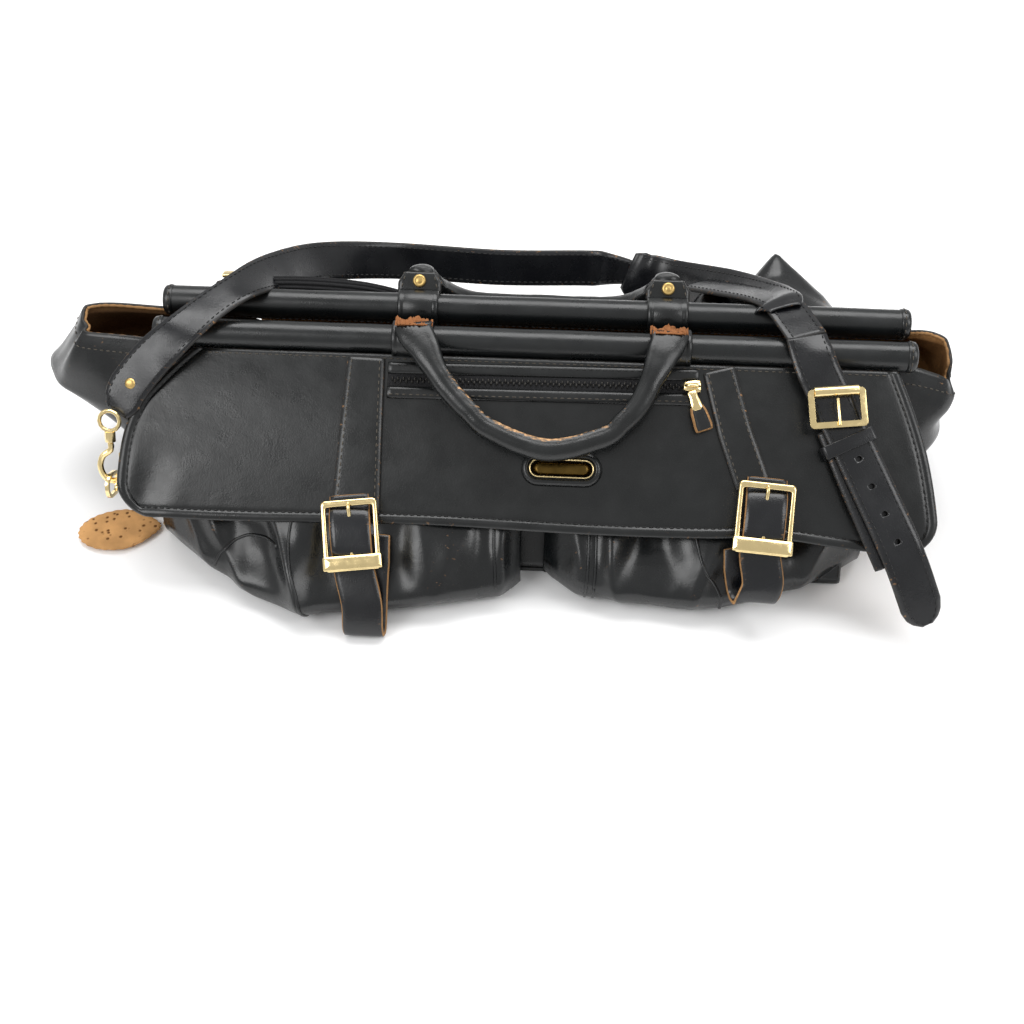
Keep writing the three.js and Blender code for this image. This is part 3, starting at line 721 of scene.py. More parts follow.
def in_buckle(side, local):
    """Points in a flap buckle's own frame: x across it, y up it and z out of it."""
    x, down, tilt, height = BUCKLES[side]
    local = np.asarray(local, float)
    across, up = turned(local, math.radians(tilt))
    return on_flap(x + across, down - up, height + local[..., 2])


def rounded_frame(width, height, radius, per_corner=6, shift=0.0):
    """Corner-rounded rectangle, anticlockwise, as x and y."""
    points = []
    for cx, cy, start in ((1, -1, -90), (1, 1, 0), (-1, 1, 90), (-1, -1, 180)):
        for k in range(per_corner):
            a = math.radians(start + 90 * k / (per_corner - 1))
            points.append((cx * (width / 2 - radius) + radius * math.cos(a),
                           cy * (height / 2 - radius) + radius * math.sin(a) + shift))
    return np.array(points)


def window_frame(piece, place, outer, inner, thickness, bevel):
    """A flat frame with rounded edges between two outlines with the same number of points."""
    out = unit(outer - inner)
    half = thickness / 2
    chamfer, crown, lift = out * bevel, out * bevel * 2.2, 0.25
    section = [(inner, -half + bevel), (inner + chamfer, -half), (outer - chamfer, -half),
               (outer, -half + bevel), (outer, half - bevel), (outer - chamfer, half),
               (outer - crown, half + lift), (inner + crown, half + lift),
               (inner + chamfer, half), (inner, half - bevel)]
    rings = np.stack([at_height(xy, z) for xy, z in section], 1)
    piece.tube(place(rings), closed=True)


def flap_buckle(side):
    """A brass buckle with a heavy lower bar, and the prong through its strap."""
    def place(local):
        return in_buckle(side, local)

    piece = Piece(f"flap_buckle_brass_{side}", BRASS)
    outer, inner = rounded_frame(38, 48, 3.2), rounded_frame(31.4, 33.6, 1.6, shift=2.6)
    window_frame(piece, place, outer, inner, 2.6, 0.6)
    bar_rows = [(39.0, 9.2, 1.0, -1.2), (39.6, 9.8, 1.0, 0.4), (39.6, 9.8, 1.0, 1.8), (38.6, 8.8, 0.8, 2.5),
                (30, 2, 0.5, 2.75)]
    bar = [at_height(rounded_frame(w, h, r, shift=-18.4), z) for w, h, r, z in bar_rows]
    piece.tube(place(np.stack(bar)))
    piece.make("flap", [f"flap_buckle_{side}"], "brass")
    prong = Piece(f"flap_buckle_prong_brass_{side}", BRASS)
    keys = [(0, -13.5, 0.6), (0, -2, -1.0), (0, 9, -0.6), (0, 14.5, 1.8), (0, 18, 3.1), (0, 22.3, 3.1)]
    path = curve_through(keys, 26)
    radius = np.interp(np.linspace(0, 1, len(path)), [0, 0.9, 1], [1.5, 1.35, 0.5])
    prong.rod(place(path), radius, 10)
    prong.make(f"{side}_flap_prong", [f"flap_buckle_prong_{side}"], "brass")


def loop_strap(side, hanging, x_from, x_to, width):
    """A strap through the buckle that then hangs in a loop, whose rows are distance back and height."""
    through = in_buckle(side, [(0, 27, -6.2), (0, 20, -4.4), (0, 14.5, -0.4), (0, 5, 1.7), (0, -6, 1.6),
                               (0, -12, 0.2), (0, -17, -4.0), (0, -25, -6.3)])
    loop = np.c_[np.linspace(x_from, x_to, len(hanging)), hanging]
    path = curve_through(np.vstack([through, loop]), 110)
    along = np.linspace(0, 1, len(path))
    widths = np.interp(along, [0, 0.1, 0.9, 1], [width - 1, width, width, width - 3])
    name, materials = f"loop_strap_leather_{side}", (STRAP, STRAP, EDGE)
    piece = strap_piece(name, path, (-1, 0, 0), widths, 2.5, materials)
    piece.make("flap", [f"loop_strap_{side}"], "strap_leather")


def make_flap_hardware():
    """The closing straps, buckles and loop straps, which all ride on the flap."""
    closing_strap("left", [15, 60, 119], [-112, -113, -114.5], [24, 27, 31])
    closing_strap("right", [15, 56, 91], [127, 138.5, 151.5], [20, 21.5, 22])
    for side in ("left", "right"):
        flap_buckle(side)
    left = [(-162, 27), (-170.5, 12), (-170.2, 4.2), (-164.5, 3.2), (-158.5, 13), (-149, 29), (-134, 43),
            (-121, 50.5)]
    loop_strap("left", left, -107, -103, 26)
    right = [(-143.5, 43), (-147.5, 33), (-144.5, 26), (-137, 27.5), (-130, 37), (-118, 48.5)]
    loop_strap("right", right, 160, 147, 26)


# ------------------------------------------------------------------ zips and plate


def zip_down(x):
    """How far down the flap the zip lies: it isn't quite level."""
    return np.interp(x, [-97, 114], [29.0, 26.8])


def zip_teeth(piece, path, out, across):
    """Two rows of small teeth that mesh along the path."""
    pitch, stagger, (length, width, height) = 1.9, 0.85, (1.15, 2.5, 0.9)
    count = int(length_of(path) / pitch)
    centres = curve_through(path, count)
    along = unit(np.gradient(centres, axis=0))
    corners = [(x * half, y * half, z) for half, z in ((0.5, -0.5), (0.4, 0.5))
               for x, y in ((-1, -1), (1, -1), (1, 1), (-1, 1))]
    sides = [[0, 3, 2, 1], [4, 5, 6, 7], [0, 1, 5, 4], [1, 2, 6, 5], [2, 3, 7, 6], [3, 0, 4, 7]]
    verts, faces = [], []
    for k, centre in enumerate(centres):
        offset = stagger if k % 2 else -stagger
        for x, y, z in corners:
            verts.append(centre + along[k] * x * length + across * (y * width + offset) + out * z * height)
        faces += [[8 * k + i for i in face] for face in sides]
    piece.add(verts, faces, 0)


def make_flap_zip():
    """The flap's zip, with a leather welt on each side of it."""
    x = np.linspace(-96.5, 113, 70)
    down = zip_down(x)
    tape = Piece("flap_zip_tape_woven", TAPE, TAPE, TAPE)
    tape.shell(facing(ribbon_grid(on_leather(x, down, 0.7), FLAP_DOWN, 11, 5, 0.1), FLAP_OUT), 0.7)
    tape.make("flap", ["flap_zip_tape"], "zip_tape")
    teeth = Piece("flap_zip_teeth_rows", TEETH)
    zip_teeth(teeth, on_leather(x, down, 1.7)[1:-1], FLAP_OUT, FLAP_DOWN)
    teeth.make("flap", ["flap_zip_teeth"], "zip_tape")
    welts = Piece("flap_zip_welts", BLACK, FLESH, BLACK)
    surface = flap_height(x, down) + FLAP_THICK / 2
    for shift, thread in ((-8.2, THREAD), (8.6, PALE_THREAD)):
        line = on_flap(x, down + shift, surface + 1.0)
        welts.shell(facing(ribbon_grid(line, FLAP_DOWN, 7.5, 7, 1.0), FLAP_OUT), 1.0)
        welts.stitches(on_flap(x, down + shift * 1.18, surface + 2.45), FLAP_OUT, thread)
    welts.make("flap", (), "black_leather")


def pill(width, height):
    """A rectangle with round ends, anticlockwise, as x and y."""
    radius, per_end = height / 2, 14
    points = []
    for side, start in ((1, -90), (-1, 90)):
        for k in range(per_end):
            a = math.radians(start + 180 * k / (per_end - 1))
            points.append((side * (width / 2 - radius) + radius * math.cos(a), radius * math.sin(a)))
    return np.array(points)


def make_plate():
    """The oval brass plate, sunk in a padded leather surround."""
    low, high = box_mm("oval_plate")
    x, down, _ = flap_place((low + high) / 2)
    height = float(flap_height(x, down)) + FLAP_THICK / 2

    def pills(rows, axis):
        rings = np.stack([at_height(pill(width, depth), z) for width, depth, z in rows], axis)
        return on_flap(x + rings[..., 0], down - rings[..., 1], height + rings[..., 2])

    surround = Piece("plate_surround_leather", BLACK)
    padding = [(45, 14, 0.4), (45.4, 14.4, 2.2), (48, 17, 3.1), (51.5, 20.5, 2.6), (53.5, 22.5, 1.3),
               (55, 24, 0.1)]
    surround.tube(pills(padding, 1)[:, ::-1], closed=True)
    surround.make("flap", ["plate_surround"], "black_leather")
    plate = Piece("oval_plate_brass", BRASS, DARK_BRASS)
    rim = [(41.4, 10.4, 1.6), (41.8, 10.8, 3.0), (42.6, 11.6, 3.5), (43.6, 12.6, 3.1), (44, 13, 1.4)]
    plate.tube(pills(rim, 1)[:, ::-1], closed=True)
    plate.tube(pills([(40.8, 9.8, 1.5), (32, 5, 1.9), (20, 1, 2.0)], 0), 1)
    plate.make("flap", ["oval_plate"], "brass")


# ------------------------------------------------------------------ rails, tabs and handles


def rail_rings(middle, x, radius, cosine, sine):
    """Rings round a rail's axis, from matching arrays of places along it and radii."""
    return xyz(x, middle[1] + radius * cosine, middle[2] + radius * sine)


def rail_cap(name, middle, end, sign):
    """The stitched leather cap at one end of a rail."""
    cap = Piece(name, RAIL)
    section = np.array([(0, 1.5), (0, 7.2), (0.5, 9.0), (1.6, 10.2), (3.2, 10.6), (6.0, 10.75), (7.0, 10.5),
                        (7.2, 9.8)])
    rings = rail_rings(middle, end - sign * section[:, :1], section[:, 1:], *circle(28))
    cap.tube(rings if sign < 0 else rings[:, ::-1])
    angle = np.linspace(0, FULL_TURN, 41)
    outward = xyz(0, 10.85 * np.cos(angle), 10.85 * np.sin(angle))
    cap.stitches(np.array([end - sign * 4.6, middle[1], middle[2]]) + outward, outward, PALE_THREAD)
    return cap


def make_rails():
    """The leather sleeves of the two rails, each sewn along its underside, and their caps."""
    seam_out = np.array([0, -0.74, -0.67])
    for label, middle, body in (("front", FRONT, "bag_body"), ("rear", REAR, "rear_half")):
        low, high = box_mm(f"{label}_rail_cap_left")[0][0], box_mm(f"{label}_rail_cap_right")[1][0]
        x = np.linspace(low + 3.6, high - 3.6, 220)
        xx, angle = np.meshgrid(x, np.linspace(0, FULL_TURN, 28, endpoint=False), indexing="ij")
        sag = 0.16 * wobble(xyz(xx, angle * 12, 0), 70, 5 + len(label))
        seam_ridge = 0.5 * np.exp(-((angle - 4.0) / 0.12) ** 2)
        piece = Piece(f"{label}_rail_leather", RAIL)
        radius = RAIL_RADIUS + sag - 0.35 + seam_ridge
        piece.tube(rail_rings(middle, xx, radius, np.cos(angle), np.sin(angle)))
        seam = xyz(x, middle[1], middle[2]) + seam_out * (RAIL_RADIUS + 0.1)
        piece.stitches(seam, seam_out)
        piece.make(body, [f"{label}_rail_sleeve"], "rail_leather")
        for side, sign, end in (("left", -1, low), ("right", 1, high)):
            cap = rail_cap(f"{label}_rail_cap_leather_{side}", middle, end, sign)
            cap.make(body, [f"{label}_rail_cap_{side}"], "rail_leather")


def rail_wrap(piece, middle, x, width, inner, outer):
    """A leather band wrapped round a rail, with rounded edges and two grooves."""
    half = width / 2
    profile = [(0.5, inner), (0, inner + 0.8), (0, outer - 0.8), (0.9, outer), (3.2, outer + 0.1),
               (3.9, outer - 0.35), (4.6, outer + 0.1)]
    section = np.array([(-half + inward, r) for inward, r in profile]
                       + [(half - inward, r) for inward, r in profile[::-1]])
    cosine, sine = circle(48)
    rings = rail_rings(middle, x + section[:, 0], section[:, 1], cosine[:, None], sine[:, None])
    piece.tube(rings, closed=True)


def handle_tube(piece, path, out, shape, sides, seam_angle, seam_worn):
    """A rolled handle. shape(t) gives half width and half thickness; a sewn ridge runs along seam_angle."""
    tangent = unit(np.gradient(path, axis=0))
    side = unit(np.cross(np.broadcast_to(out, path.shape), tangent))
    up = np.cross(tangent, side)
    angle = np.linspace(0, FULL_TURN, sides, endpoint=False)
    cosine, sine = np.cos(angle), np.sin(angle)
    t = np.linspace(0, 1, len(path))
    wide, thick = shape(t)
    gap = np.abs((angle[None, :] - seam_angle + math.pi) % FULL_TURN - math.pi)
    ridge = 1 + 0.16 * np.exp(-(gap / 0.2) ** 2) - 0.05 * np.exp(-((gap - 0.42) / 0.12) ** 2)
    creases = 1 + 0.014 * wobble(xyz(t[:, None] * 400, cosine * 9, sine * 9), 16, 9)
    rings = (path[:, None] + side[:, None] * (wide[:, None] * cosine * ridge * creases)[..., None]
             + up[:, None] * (thick[:, None] * sine * ridge * creases)[..., None])
    worn = np.exp(-(gap / 0.23) ** 2) * seam_worn(t)[:, None]
    piece.tube(rings[:, ::-1], worn=worn[:, ::-1])


def bump_at(t, place, width):
    """A smooth bump of height 1."""
    return np.exp(-((t - place) / width) ** 2)


def handle_shape(wide_at, wide, thick_at, thick):
    """A function that gives a handle's half width and half thickness, the same from either end."""
    def shape(t):
        from_end = np.minimum(t, 1 - t)
        return np.interp(from_end, wide_at, wide), np.interp(from_end, thick_at, thick)

    return shape


def handle_core(name, body, path, replaced):
    """The cord that fills a rolled handle."""
    bare_end, radius = 14, 3.0
    core = Piece(name, CORD)
    core.rod(path[bare_end:-bare_end], radius, 10)
    core.make(body, [replaced], "cord_filler")


def torn_end(piece, place, seed, reach):
    """Frayed layers of leather where a handle tab has worn through."""
    rng = np.random.default_rng(seed)
    slot = piece.material_slot(TORN_LEATHER)
    u, v = np.meshgrid(np.linspace(-1, 1, 26), np.linspace(0, 1, 6))
    for layer in range(3):
        fringe = 0.35 * np.sin(u * (5 + layer * 2) + rng.uniform(0, 6)) + 0.12 * rng.normal(size=u.shape)
        lump = 0.5 * rng.normal(size=u.shape)
        across = u * (12.5 - 1.6 * layer)
        down = -v * reach * (1 + fringe) * (1 - 0.22 * layer)
        height = 1.5 + 1.7 * layer - 4.4 * v * (0.6 + 0.2 * layer) + lump
        piece.shell(place(across, down, height)[::-1], 0.9, np.full(u.shape, 0.8), (slot, slot, slot))


def make_front_handle():
    """The rolled front handle, which lies on the flap, with torn leather where it meets its tabs."""
    keys = [(-79.5, -7, 15.6), (-78, -1, 17.6), (-71.5, 9, 20), (-64.5, 22, 21), (-53.7, 37, 20.8),
            (-40, 51, 20.5), (-25, 63, 20), (13, 75, 19.5), (50.8, 65.6, 20), (63, 55.5, 20.5),
            (73.5, 43, 20.8), (82, 24, 21), (87.6, 9, 20), (91.5, -1, 17.6), (92.3, -7, 15.6)]
    path = on_flap(*curve_through(keys, 150).T)
    shape = handle_shape([0, 0.05, 0.14, 0.3, 0.5], [13.2, 11.4, 8.0, 7.2, 7.7],
                         [0, 0.06, 0.16, 0.3], [3.4, 4.6, 6.6, 7.3])

    def worn(t):
        return 0.85 * bump_at(t, 0.47, 0.17) + 0.38 * bump_at(t, 0.22, 0.07) + 0.12

    piece = Piece("front_handle_leather", HANDLE)
    handle_tube(piece, path, FLAP_OUT, shape, 26, math.radians(38), worn)
    for x, seed in ((-79.5, 11), (92.0, 12)):
        torn_end(piece, lambda u, v, w, x=x: on_flap(x + u, -6.0 + v, 15.6 + w), seed, 5.5)
    piece.make("front_handle", ["front_handle_grip"], "handle_leather")
    handle_core("front_handle_core_cord", "front_handle", path, "front_handle_core")
    for side in ("left", "right"):
        x = centre_mm(f"front_handle_tab_{side}")[0]
        tab = Piece(f"front_handle_tab_leather_{side}", HANDLE)
        rail_wrap(tab, FRONT, x, 28, RAIL_RADIUS + 0.4, RAIL_RADIUS + 2.9)
        tab.make("front_handle", [f"front_handle_tab_{side}"], "handle_leather")


# The rear tabs stand up from the rail: the way they point, and the way their outer side faces.
TAB_LEAN = math.radians(48)
TAB_UP = np.array([0, math.cos(TAB_LEAN), math.sin(TAB_LEAN)])
TAB_OUT = np.array([0, -math.sin(TAB_LEAN), math.cos(TAB_LEAN)])


def rear_tab(side):
    """A tab that wraps the rear rail and stands up from it."""
    x = centre_mm(f"rear_handle_tab_{side}")[0]
    tab = Piece(f"rear_handle_tab_leather_{side}", HANDLE, FLESH, INKED_EDGE)
    rail_wrap(tab, REAR, x, 28, RAIL_RADIUS + 0.4, RAIL_RADIUS + 2.7)
    u, v = np.meshgrid(np.linspace(-1, 1, 15), np.linspace(0, 1, 18))
    reach = 11.5 + v * 12.5
    half_width = 14 - 3.4 * smooth_step(v, 0.45, 1.0)
    grid = xyz(x + u * half_width, REAR[1] + reach * TAB_UP[1], REAR[2] + reach * TAB_UP[2])
    grid += TAB_OUT * (0.6 - 1.6 * v * v + 0.25 * (1 - u ** 2))[..., None]
    tab.shell(grid, 3.4)
    for column in (1, -2):
        tab.stitches(grid[2:-2, column] + TAB_OUT * 2.0, TAB_OUT, PALE_THREAD)
    tab.make("rear_handle_tabs", [f"rear_handle_tab_{side}"], "handle_leather")


def rear_rivet(side):
    """A domed brass rivet with a ring pressed into it."""
    middle = centre_mm(f"rear_handle_rivet_{side}")
    rivet = Piece(f"rear_handle_rivet_brass_{side}", AGED_BRASS)
    profile = [(0.3, 1.55), (1.6, 1.5), (2.3, 1.0), (2.9, 1.35), (3.7, 1.3), (4.4, 0.6), (4.6, -0.4),
               (4.3, -0.9)]
    cosine, sine = circle(28)
    rings = [middle + TAB_OUT * lift + cosine[:, None] * [r, 0, 0] + sine[:, None] * TAB_UP * r
             for r, lift in profile]
    rivet.tube(np.stack(rings))
    rivet.make("rear_handle_tabs", [f"rear_handle_rivet_{side}"], "aged_brass")


def make_rear_handle():
    """The rear handle, which hangs behind the bag from its two tabs."""
    centre = centre_mm("rear_handle_grip")[0]
    half = [(86.5, 19.5, 16.0), (86, 25, 13), (84, 32, 4), (77, 45, -17), (57, 58, -39), (26, 70, -51),
            (0, 74, -54)]
    keys = [(centre - x, REAR[1] + y, REAR[2] + z) for x, y, z in half]
    keys += [(centre + x, REAR[1] + y, REAR[2] + z) for x, y, z in half[-2::-1]]
    path = curve_through(keys, 130)
    shape = handle_shape([0, 0.06, 0.2, 0.5], [9.5, 7.6, 7.2, 7.6], [0, 0.07, 0.2], [4.2, 6.2, 7.2])

    def worn(t):
        return 0.25 + 0.3 * bump_at(t, 0.5, 0.2)

    piece = Piece("rear_handle_leather", HANDLE)
    handle_tube(piece, path, np.array([0, 0.75, 0.66]), shape, 24, math.radians(200), worn)
    piece.make("rear_handle", ["rear_handle_grip"], "handle_leather")
    handle_core("rear_handle_core_cord", "rear_handle", path, "rear_handle_core")
    for side in ("left", "right"):
        rear_tab(side)
        rear_rivet(side)


# ------------------------------------------------------------------ walls, pockets and gussets

# Each row is a distance back and a height.
WALL_FOOT, WALL_TOP = (-103.0, 5.4), (-17.0, 117.5)
BACK_SLUMPED = [(21, 124), (22, 117), (55, 88), (92, 57), (118, 32), (113, 6.5), (103, 3.2)]
BACK_RAISED = [(21, 124), (23, 117), (55, 108), (92, 112), (119, 108), (114, 7), (103, 3.2)]
PEAK_X = 178              # where the back wall stands up in a peak
WALL_END = 221            # how far the walls reach to each side, where the gussets are sewn on
FOOT_INSET = 34.0         # how much shorter the front wall is at its foot, at each end


def front_wall_y(z):
    """How far back the sloping front wall is at a height."""
    (foot_y, foot_z), (top_y, top_z) = WALL_FOOT, WALL_TOP
    return foot_y + (top_y - foot_y) * (np.asarray(z, float) - foot_z) / (top_z - foot_z)


def foot_inset(v):
    """How far the front wall's ends are drawn in, at a share of its height."""
    return FOOT_INSET * np.clip(1 - v / 0.45, 0, 1) ** 2


def ridged(points, scale, seed):
    """Sharp soft-leather creases: 0 in the valleys and 1 along thin ridges."""
    return 1 - np.abs(np.tanh(1.6 * wobble(points, scale, seed, 1)))


def make_front_wall():
    """The front wall, behind the pockets."""
    half = box_mm("front_wall")[1][0]
    x, v = np.meshgrid(np.linspace(-half, half, 120), np.linspace(0, 1, 40))
    x = x * (1 - foot_inset(v) / half)
    foot, top = 4.5, 124.0
    z = foot + v * (top - foot)
    grid = xyz(x, front_wall_y(z) + 1.2 * wobble(xyz(x, z, 0), 60, 21), z)
    piece = Piece("front_wall_leather", BLACK, FLESH, INKED_EDGE)
    piece.shell(grid, 2.4)
    piece.make("bag_body", ["front_wall"], "black_leather")


def make_back_wall():
    """A wall that has slumped to the floor, but for the peak at its right end."""
    half = box_mm("front_wall")[1][0]
    rows = 70
    slumped, raised = curve_through(BACK_SLUMPED, rows), curve_through(BACK_RAISED, rows)
    x = np.linspace(half, -half, 190)
    away = x - PEAK_X
    left_slope, right_slope = np.exp(-(np.abs(away) / 33) ** 1.25), np.clip(1 - away / 60, 0, 1) ** 0.85
    peak = np.where(away < 0, left_slope, right_slope)
    peak = np.maximum(peak, 0.55 * bump_at(away, -46, 20))
    y, z = (slumped[:, None, k] * (1 - peak) + raised[:, None, k] * peak for k in (0, 1))
    share = np.linspace(0, 1, rows)[:, None] * np.ones_like(x)
    flat = xyz(x, share * 70, 0)
    creases = ridged(flat * [1, 0.45, 1], 95, 31)
    push = (3.2 * creases + 1.4 * wobble(flat, 60, 32)) * np.sin(math.pi * share) ** 0.6
    grid = xyz(x, y, z) + np.array([0, 0.75, 0.5]) * push[..., None]
    piece = Piece("back_wall_leather", POCKET, FLESH, INKED_EDGE)
    piece.shell(facing(grid[::-1], [0, 1, 0]), 2.4, 0.22 * creases[::-1] ** 6)
    piece.make("rear_half", ["back_wall"], "black_leather")


# Each pocket: its outline on the ground; its ends; the ridges its slack leather makes (place, slant, height,
# width); the hollows between them (place, height, half sizes, depth); and its seams (rows of place, height).
POCKETS = {
    "left": dict(
        outline=[(-262, -82), (-246, -97), (-225, -115), (-205, -128), (-196, -138), (-155, -157),
                 (-120, -154), (-88, -149), (-16, -134), (-4, -123), (0.5, -104)],
        span=(-259, -3),
        ridges=[(0.10, 0.25, 4, 0.03), (0.20, 0.35, 5, 0.035), (0.395, 0.16, 10, 0.028),
                (0.60, 0.08, 4, 0.035), (0.80, -0.05, 7, 0.09), (0.955, -0.05, 4, 0.02)],
        hollows=[(0.29, 0.60, 0.085, 0.20, 15), (0.50, 0.52, 0.05, 0.16, 6), (0.665, 0.56, 0.05, 0.2, 7),
                 (0.905, 0.45, 0.03, 0.2, 4)],
        seams=[[(0.17, 0.84), (0.20, 0.70), (0.26, 0.60), (0.36, 0.54)],
               [(0.93, 0.3), (0.935, 0.6), (0.94, 0.8)],
               [(0.405, 0.28), (0.39, 0.5), (0.42, 0.72), (0.44, 0.95)]]),
    "right": dict(
        outline=[(12, -104), (18, -114), (37, -130), (104, -139), (136, -137), (193, -115), (222, -97),
                 (238, -84)],
        span=(14, 235),
        ridges=[(0.11, 0.10, 5, 0.05), (0.215, 0.10, 8, 0.035), (0.50, -0.12, 6, 0.05),
                (0.63, -0.10, 5, 0.045), (0.86, -0.25, 7, 0.05)],
        hollows=[(0.335, 0.52, 0.085, 0.17, 15), (0.165, 0.5, 0.03, 0.2, 3), (0.745, 0.50, 0.075, 0.16, 11)],
        seams=[[(0.13, 0.3), (0.135, 0.6), (0.13, 0.95)], [(0.155, 0.3), (0.16, 0.6), (0.155, 0.95)],
               [(0.44, 0.30), (0.48, 0.55), (0.545, 0.78), (0.55, 0.95)]]),
}

# A pocket's section from its top to its foot: share of the outline's distance, and height.
POCKET_SECTION = [(0.40, 90), (0.55, 78), (0.73, 58), (0.88, 40), (0.99, 22), (1.0, 10), (0.95, 2.4),
                  (0.84, 1.6)]


def pocket_push(spec, u, v):
    """How far a pocket's leather is pushed out, and where its ridges have their crests."""
    push = np.zeros(np.broadcast_shapes(u.shape, v.shape))
    crest = np.zeros_like(push)
    for place, slant, height, width in spec["ridges"]:
        away = np.abs(u - place - slant * (v - 0.65) - 0.01 * np.sin(9 * v + place * 20)) / width
        push += height * np.exp(-away ** 1.3) * smooth_step(v, 0.28, 0.62)
        crest += bump_at(away, 0, 0.3)
    for place, height, half_u, half_v, depth in spec["hollows"]:
        push -= depth * np.exp(-np.abs((u - place) / half_u) ** 3 - np.abs((v - height) / half_v) ** 3)
    return push, crest


def on_grid(grid, column, row):
    """Points between those of a grid, for columns and rows that needn't be whole."""
    rows, columns = grid.shape[:2]
    i, j = np.clip(row, 0, rows - 2), np.clip(column, 0, columns - 2)
    i0, j0 = i.astype(int), j.astype(int)
    down, along = (i - i0)[:, None], (j - j0)[:, None]
    upper = grid[i0, j0] * (1 - along) + grid[i0, j0 + 1] * along
    lower = grid[i0 + 1, j0] * (1 - along) + grid[i0 + 1, j0 + 1] * along
    return upper * (1 - down) + lower * down


def make_pocket(side):
    """A gathered front pocket, with its folds and sewn seams."""
    spec = POCKETS[side]
    columns, rows, lowest, from_wall = 210, 80, 1.5, 3.2
    x = np.linspace(*spec["span"], columns)
    window = np.hanning(9) / np.hanning(9).sum()
    out_y = np.interp(x, *np.array(spec["outline"], float).T)
    out_y = np.convolve(np.pad(out_y, 4, mode="edge"), window, "valid")
    reach, z = curve_through(POCKET_SECTION, rows).T
    reach, z = reach[:, None], z[:, None] * np.ones_like(x)
    beyond_wall = 400 * smooth_step(np.abs(x), WALL_END, WALL_END + 3)
    wall = front_wall_y(np.maximum(z, WALL_FOOT[1])) - from_wall + beyond_wall
    y = np.minimum(out_y * reach, wall)

    v = np.linspace(0, 1, rows)[:, None]
    u = np.linspace(0, 1, columns)[None, :]
    push, crest = pocket_push(spec, u, v)
    flat = xyz(u * 260, v * 110, 0)
    push += 1.5 * wobble(flat, 58, 40 + len(side)) + 1.4 * (ridged(flat * [1, 0.6, 1], 70, 44) - 0.4)
    push += 2.2 * bump_at(v, 0.80, 0.07)
    ends = smooth_step(np.minimum(u, 1 - u), 0, 0.05) * np.sin(math.pi * np.clip(v * 1.03, 0, 1)) ** 0.6
    grid = xyz(x, y, z) + np.array([0, -1.0, 0.12]) * (push * ends)[..., None]
    grid[..., 2] = np.maximum(grid[..., 2], lowest)
    grid[..., 1] = np.minimum(grid[..., 1], wall + 0.6)
    grid = facing(grid, [0, -1, 0])
    from_right = grid[0, 0, 0] > grid[0, -1, 0]
    worn = 0.10 * crest * ends
    piece = Piece(f"front_pocket_leather_{side}", POCKET, DARK_FLESH, INKED_EDGE)
    piece.shell(grid, 2.2, worn[:, ::-1] if from_right else worn)
    normal = grid_normals(grid)
    for seam in spec["seams"]:
        place, height = curve_through(seam, 60).T
        at = ((1 - place if from_right else place) * (columns - 1), height * (rows - 1))
        line = on_grid(grid, *at) + unit(on_grid(normal, *at))
        line[:, 2] = np.maximum(line[:, 2], lowest)
        piece.rod(line, 1.15, 7)
    piece.make("bag_body", [f"front_pocket_{side}"], "black_leather")


def make_base():
    """The base panel: its front corners are round and its rear ones are tight."""
    low, high = box_mm("base_panel")
    rings = []
    layers = [(60, high[2]), (1.2, high[2]), (0, high[2] - 1), (0, low[2] + 1), (1.2, low[2]), (60, low[2])]
    for shrink, z in layers:
        width, depth = high[0] - low[0] - 2 * shrink, high[1] - low[1] - 2 * shrink
        round_corners = rounded_frame(width, depth, max(48 - shrink, 4), 12)
        tight_corners = rounded_frame(width, depth, max(8 - shrink, 1), 12)
        outline = np.where((round_corners[:, 1] > 0)[:, None], tight_corners, round_corners)
        rings.append(at_height(outline, z))
    piece = Piece("base_panel_leather", BLACK)
    piece.tube(np.stack(rings)[::-1])
    piece.make("bag_body", ["base_panel"], "black_leather")


# Where each gusset is sewn to the back wall: heights and distances back.
REAR_SEAMS = {
    -1: ([2, 6.5, 32, 57, 88, 117, 124], [104, 111, 116, 90.5, 54, 21.5, 20.5]),
    1: ([2, 6.7, 57, 75, 94.6, 117, 124], [104, 112, 116.5, 91, 54, 21.5, 20.5]),
}


